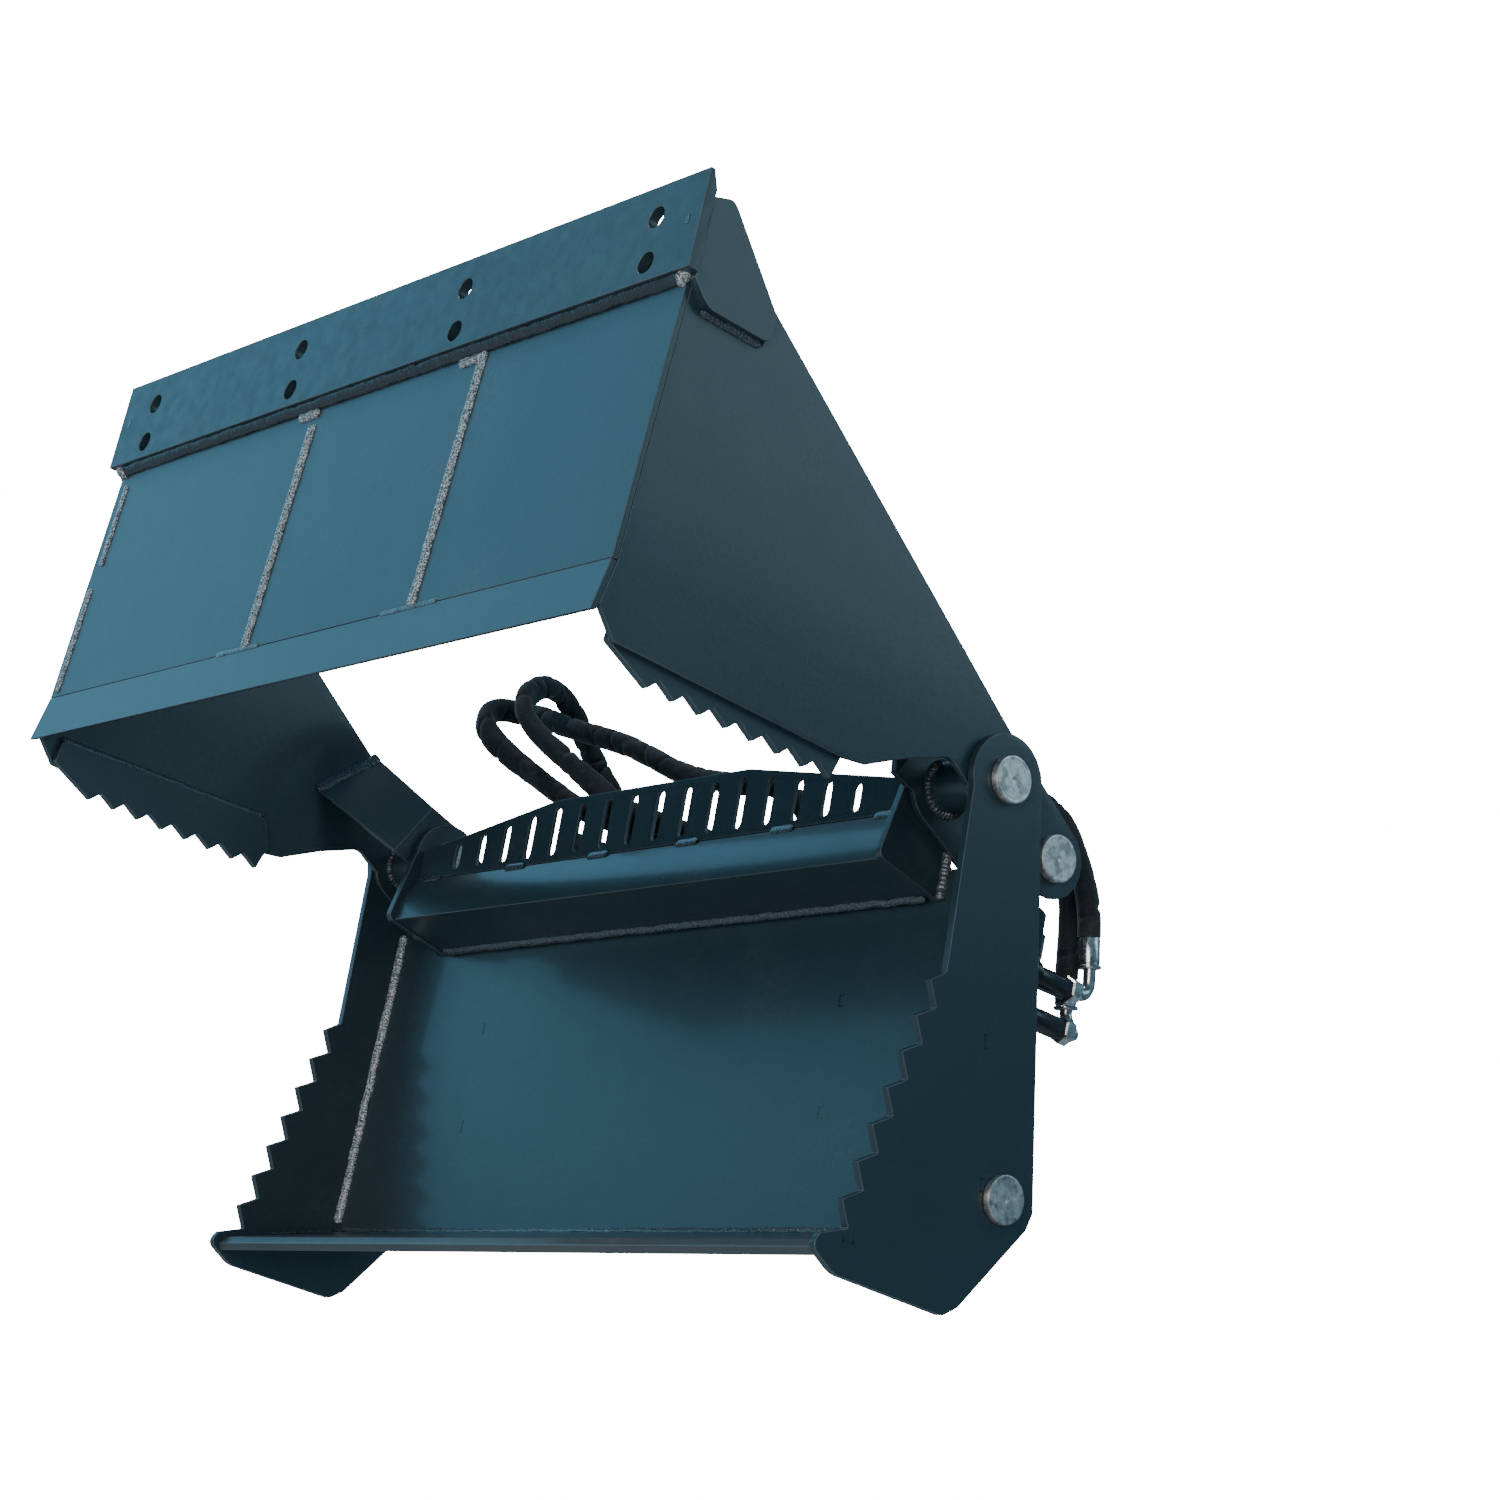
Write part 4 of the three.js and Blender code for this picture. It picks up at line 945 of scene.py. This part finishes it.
def elbow_shapes(up, inboard, lean):
    """The nut on the port, the swept tube and the flanged ferrule, whose hose stands upright."""
    out = 82.3 * MM
    nut = along_y(turned([(out, 11.8 * MM), (out + 1.3 * MM, 13.9 * MM), (out + 12 * MM, 13.9 * MM),
                          (out + 13.4 * MM, 12 * MM), (out + 15 * MM, 9 * MM)], segments=6))
    collar = along_y(turned([(out + 13 * MM, 8.6 * MM), (out + 17 * MM, 8.6 * MM), (out + 18 * MM, 7 * MM)],
                            segments=32))
    route = [(0, 10, 0), (0, 18, 0), (-0.3 * inboard / MM, 26, 3), (-0.7 * inboard / MM, 30, 11),
             (-inboard / MM, 29, 22), (-inboard / MM, 27, 34)]
    line = smooth_route([(x * MM, out + y * MM, z * MM) for x, y, z in route], 1 * MM)
    tube = round_tube(line, 6.2 * MM, 24)
    sleeve = [(-13.2, 7.6), (-12.8, 11.6), (-12.0, 12.0), (-10.2, 12.0), (-9.6, 11.4), (-9.2, 10.0),
              (-8.0, 10.0), (-7.2, 10.7), (17.0, 10.7), (18.0, 10.2), (20.4, 9.4)]
    ferrule = along_z(turned(in_mm(sleeve), segments=40))
    points = ferrule[0]
    c, s = math.cos(lean), math.sin(lean)
    leaned = np.column_stack([points[:, 0], points[:, 1] * c - points[:, 2] * s,
                              points[:, 1] * s + points[:, 2] * c])
    ferrule = lifted((leaned, ferrule[1]), -inboard, out + 24 * MM, 41 * MM)
    return [lifted(shape, z=up) for shape in (nut, collar, tube, ferrule)]


def cylinders():
    """Both cylinders: barrel, gland, rod, rod eye and the two elbows."""
    for side, sign in SIDES:
        place = cylinder_frame(side)
        along = Vector(JOINTS[f"{side}_rod_slide"]["axis"])
        lean = TILT - math.atan2(-along.y, along.z)
        body = f"{side}_cylinder_body"
        piece(f"{side}_barrel_shell", body, BLACK, joined(barrel_shapes()), place,
              replaces=[f"{side}_barrel"])
        gland = [(262.3, 14.4), (262.3, 29.2), (263.2, 30), (268, 30), (268.6, 29.2), (270, 29.2),
                 (270.6, 30), (282, 30), (285, 27), (285, 14.4)]
        piece(f"{side}_gland_turned", body, BLACK,
              along_z(turned(in_mm(gland), closed=True)), place, replaces=[f"{side}_gland"])
        rod_end = RETRACTED / MM - 22
        shaft = [(48, 0.2), (48, 24.6), (74, 24.6), (74, 14), (rod_end, 14), (rod_end, 0.2)]
        piece(f"{side}_rod_chromed", f"{side}_cylinder_rod", CHROME,
              along_z(turned(in_mm(shaft))), place, replaces=[f"{side}_rod"])
        eye = joined([eye_shape(RETRACTED, 25 * MM), round_weld(14 * MM, RETRACTED - 24.5 * MM, 4 * MM, 410)])
        piece(f"{side}_rod_eye", f"{side}_cylinder_rod", BLACK, eye, place)
        for up, inboard, which in PORTS:
            piece(f"{side}_{which}_elbow_fitting", body, BRIGHT,
                  joined(elbow_shapes(up, sign * inboard, lean)), place, sharp=28,
                  replaces=[f"{side}_{which}_port_elbow"])


# ---- manifold and couplers ----
SIDE_PORTS = ((66, -62), (40, -80))           # [y, z] in millimetres
COUPLERS = (100 * MM, -62 * MM)


def manifold_fittings():
    """The hoses' ferrules on the manifold, and its four screws."""
    shapes = []
    sleeve_profile = in_mm([(56, 11.3), (56, 13), (70, 13), (71, 12.3), (71, 11.3)])
    top = in_mm([(-49.8, 11.4), (-49.8, 13.2), (-36, 13.2), (-35, 12.4), (-35, 11.4)])
    screw_profile = in_mm([(-50, 4.5), (-46, 4.5), (-45.4, 3.9)])
    for sign in (-1, 1):
        for y, z in SIDE_PORTS:
            sleeve = turned(sleeve_profile, (y * MM, z * MM), 40, closed=True)
            shapes.append(flipped(sleeve, sign))
        shapes.append(lifted(along_z(turned(top, segments=40, closed=True)), sign * 25 * MM, 60 * MM))
        for y in (46, 74):
            screw = along_z(turned(screw_profile, segments=24))
            shapes.append(lifted(screw, sign * 46 * MM, y * MM))
    piece("manifold_ferrules", "root", BRIGHT, joined(shapes), sharp=30)


def quick_couplers():
    """A pair of quick couplers, knurled and grooved, plugged into each other."""
    profile = [(0, 8), (0, 16), (1, 17), (5, 17), (5.6, 16.2), (6.6, 16.2), (7.2, 17), (15, 17), (16, 16),
               (18, 14), (26, 14), (26, 10.4), (29, 10.4), (29.5, 9.6), (31, 9.6), (31.5, 10.4), (39, 10.4),
               (40, 9.4), (40, 8)]
    made = {}
    for side, _ in SIDES:
        offset = -2 * MM if side == "left" else -2.3 * MM
        turn = 1 if side == "left" else -1
        shape = turned([(offset + turn * x * MM, r * MM) for x, r in profile], COUPLERS, 48)
        made[side] = piece(f"{side}_quick_coupler_turned", "root", BRIGHT, shape, sharp=30,
                           replaces=[f"{side}_quick_coupler"])
    return made


# ---- lighting and floor ----
FLOOR_DROP = 1.6
FLOOR_HALF = 9


def world():
    """White behind the object; round it, a soft blue dome that is dark grey below."""
    made = bpy.data.worlds.new("studio")
    made.use_nodes = True
    tree = made.node_tree
    background = tree.nodes["Background"]
    where = tree.nodes.new("ShaderNodeTexCoord").outputs["Generated"]
    split = tree.nodes.new("ShaderNodeSeparateXYZ")
    tree.links.new(where, split.inputs[0])
    ramp = tree.nodes.new("ShaderNodeValToRGB")
    height = tree.nodes.new("ShaderNodeMapRange")
    height.inputs["From Min"].default_value = -1
    tree.links.new(split.outputs["Z"], height.inputs["Value"])
    tree.links.new(height.outputs["Result"], ramp.inputs["Fac"])
    colours = [(0.0, (0.10, 0.11, 0.12)), (0.46, (0.16, 0.18, 0.20)), (0.55, (0.30, 0.62, 0.85)),
               (1.0, (0.12, 0.36, 0.66))]
    while len(ramp.color_ramp.elements) < len(colours):
        ramp.color_ramp.elements.new(0.5)
    for element, (position, colour) in zip(ramp.color_ramp.elements, colours):
        element.position = position
        element.color = (*colour, 1)
    seen = tree.nodes.new("ShaderNodeLightPath").outputs["Is Camera Ray"]
    mix = tree.nodes.new("ShaderNodeMixShader")
    plain = tree.nodes.new("ShaderNodeBackground")
    plain.inputs["Color"].default_value = (0.93, 0.94, 0.95, 1)
    plain.inputs["Strength"].default_value = 20.0
    background.inputs["Strength"].default_value = 0.30
    tree.links.new(ramp.outputs["Color"], background.inputs["Color"])
    tree.links.new(seen, mix.inputs["Fac"])
    tree.links.new(background.outputs[0], mix.inputs[1])
    tree.links.new(plain.outputs[0], mix.inputs[2])
    tree.links.new(mix.outputs[0], tree.nodes["World Output"].inputs["Surface"])
    bpy.context.scene.world = made


def light(name, direction, distance, size, power, colour):
    """A square soft light that faces the object's middle from the given direction."""
    middle = (CAD_BOX[0] + CAD_BOX[1]) / 2
    data = bpy.data.lights.new(name, "AREA")
    data.size = size
    data.energy = power
    data.color = colour
    obj = bpy.data.objects.new(name, data)
    obj.location = middle + Vector(direction).normalized() * distance
    obj.rotation_mode = "QUATERNION"
    obj.rotation_quaternion = Vector(direction).to_track_quat("Z", "Y")
    bpy.context.scene.collection.objects.link(obj)


def floor():
    """A pale floor under the camera, which itself looks up from below the bucket."""
    depth = CAD_BOX[0].z - FLOOR_DROP
    corners = ((-1, -1), (1, -1), (1, 1), (-1, 1))
    mesh = bpy.data.meshes.new("floor")
    mesh.from_pydata([(x * FLOOR_HALF, y * FLOOR_HALF, depth) for x, y in corners], [], [(0, 1, 2, 3)])
    n = Nodes("floor")
    shade = n.mix(n.noise(1.5), (0.70, 0.70, 0.69), (0.74, 0.74, 0.73))
    mesh.materials.append(n.set(Base_Color=shade, Roughness=0.8, Emission_Color=(0.80, 0.76, 0.72),
                                Emission_Strength=0.16))
    obj = bpy.data.objects.new("floor", mesh)
    bpy.context.scene.collection.objects.link(obj)


def studio():
    world()
    light("sky_card", (-0.79, -0.49, 0.235), 4.0, 3.4, 48, (0.20, 0.60, 0.90))
    light("key", (-0.25, -0.70, 0.85), 4.5, 0.6, 34, (1.0, 0.97, 0.92))
    light("right_fill", (0.635, 0.325, 0.70), 4.0, 2.2, 20, (0.62, 0.90, 1.0))
    light("low_fill", (0.62, -0.70, -0.30), 4.0, 2.2, 66, (1.0, 0.98, 0.95))
    floor()


camera()
cylinder_hoses()
supply_hoses(quick_couplers())
steelwork()
pins()
rear_welds()
clam_welds()
mount_welds()
tab_marks()
cylinders()
manifold_fittings()
studio()
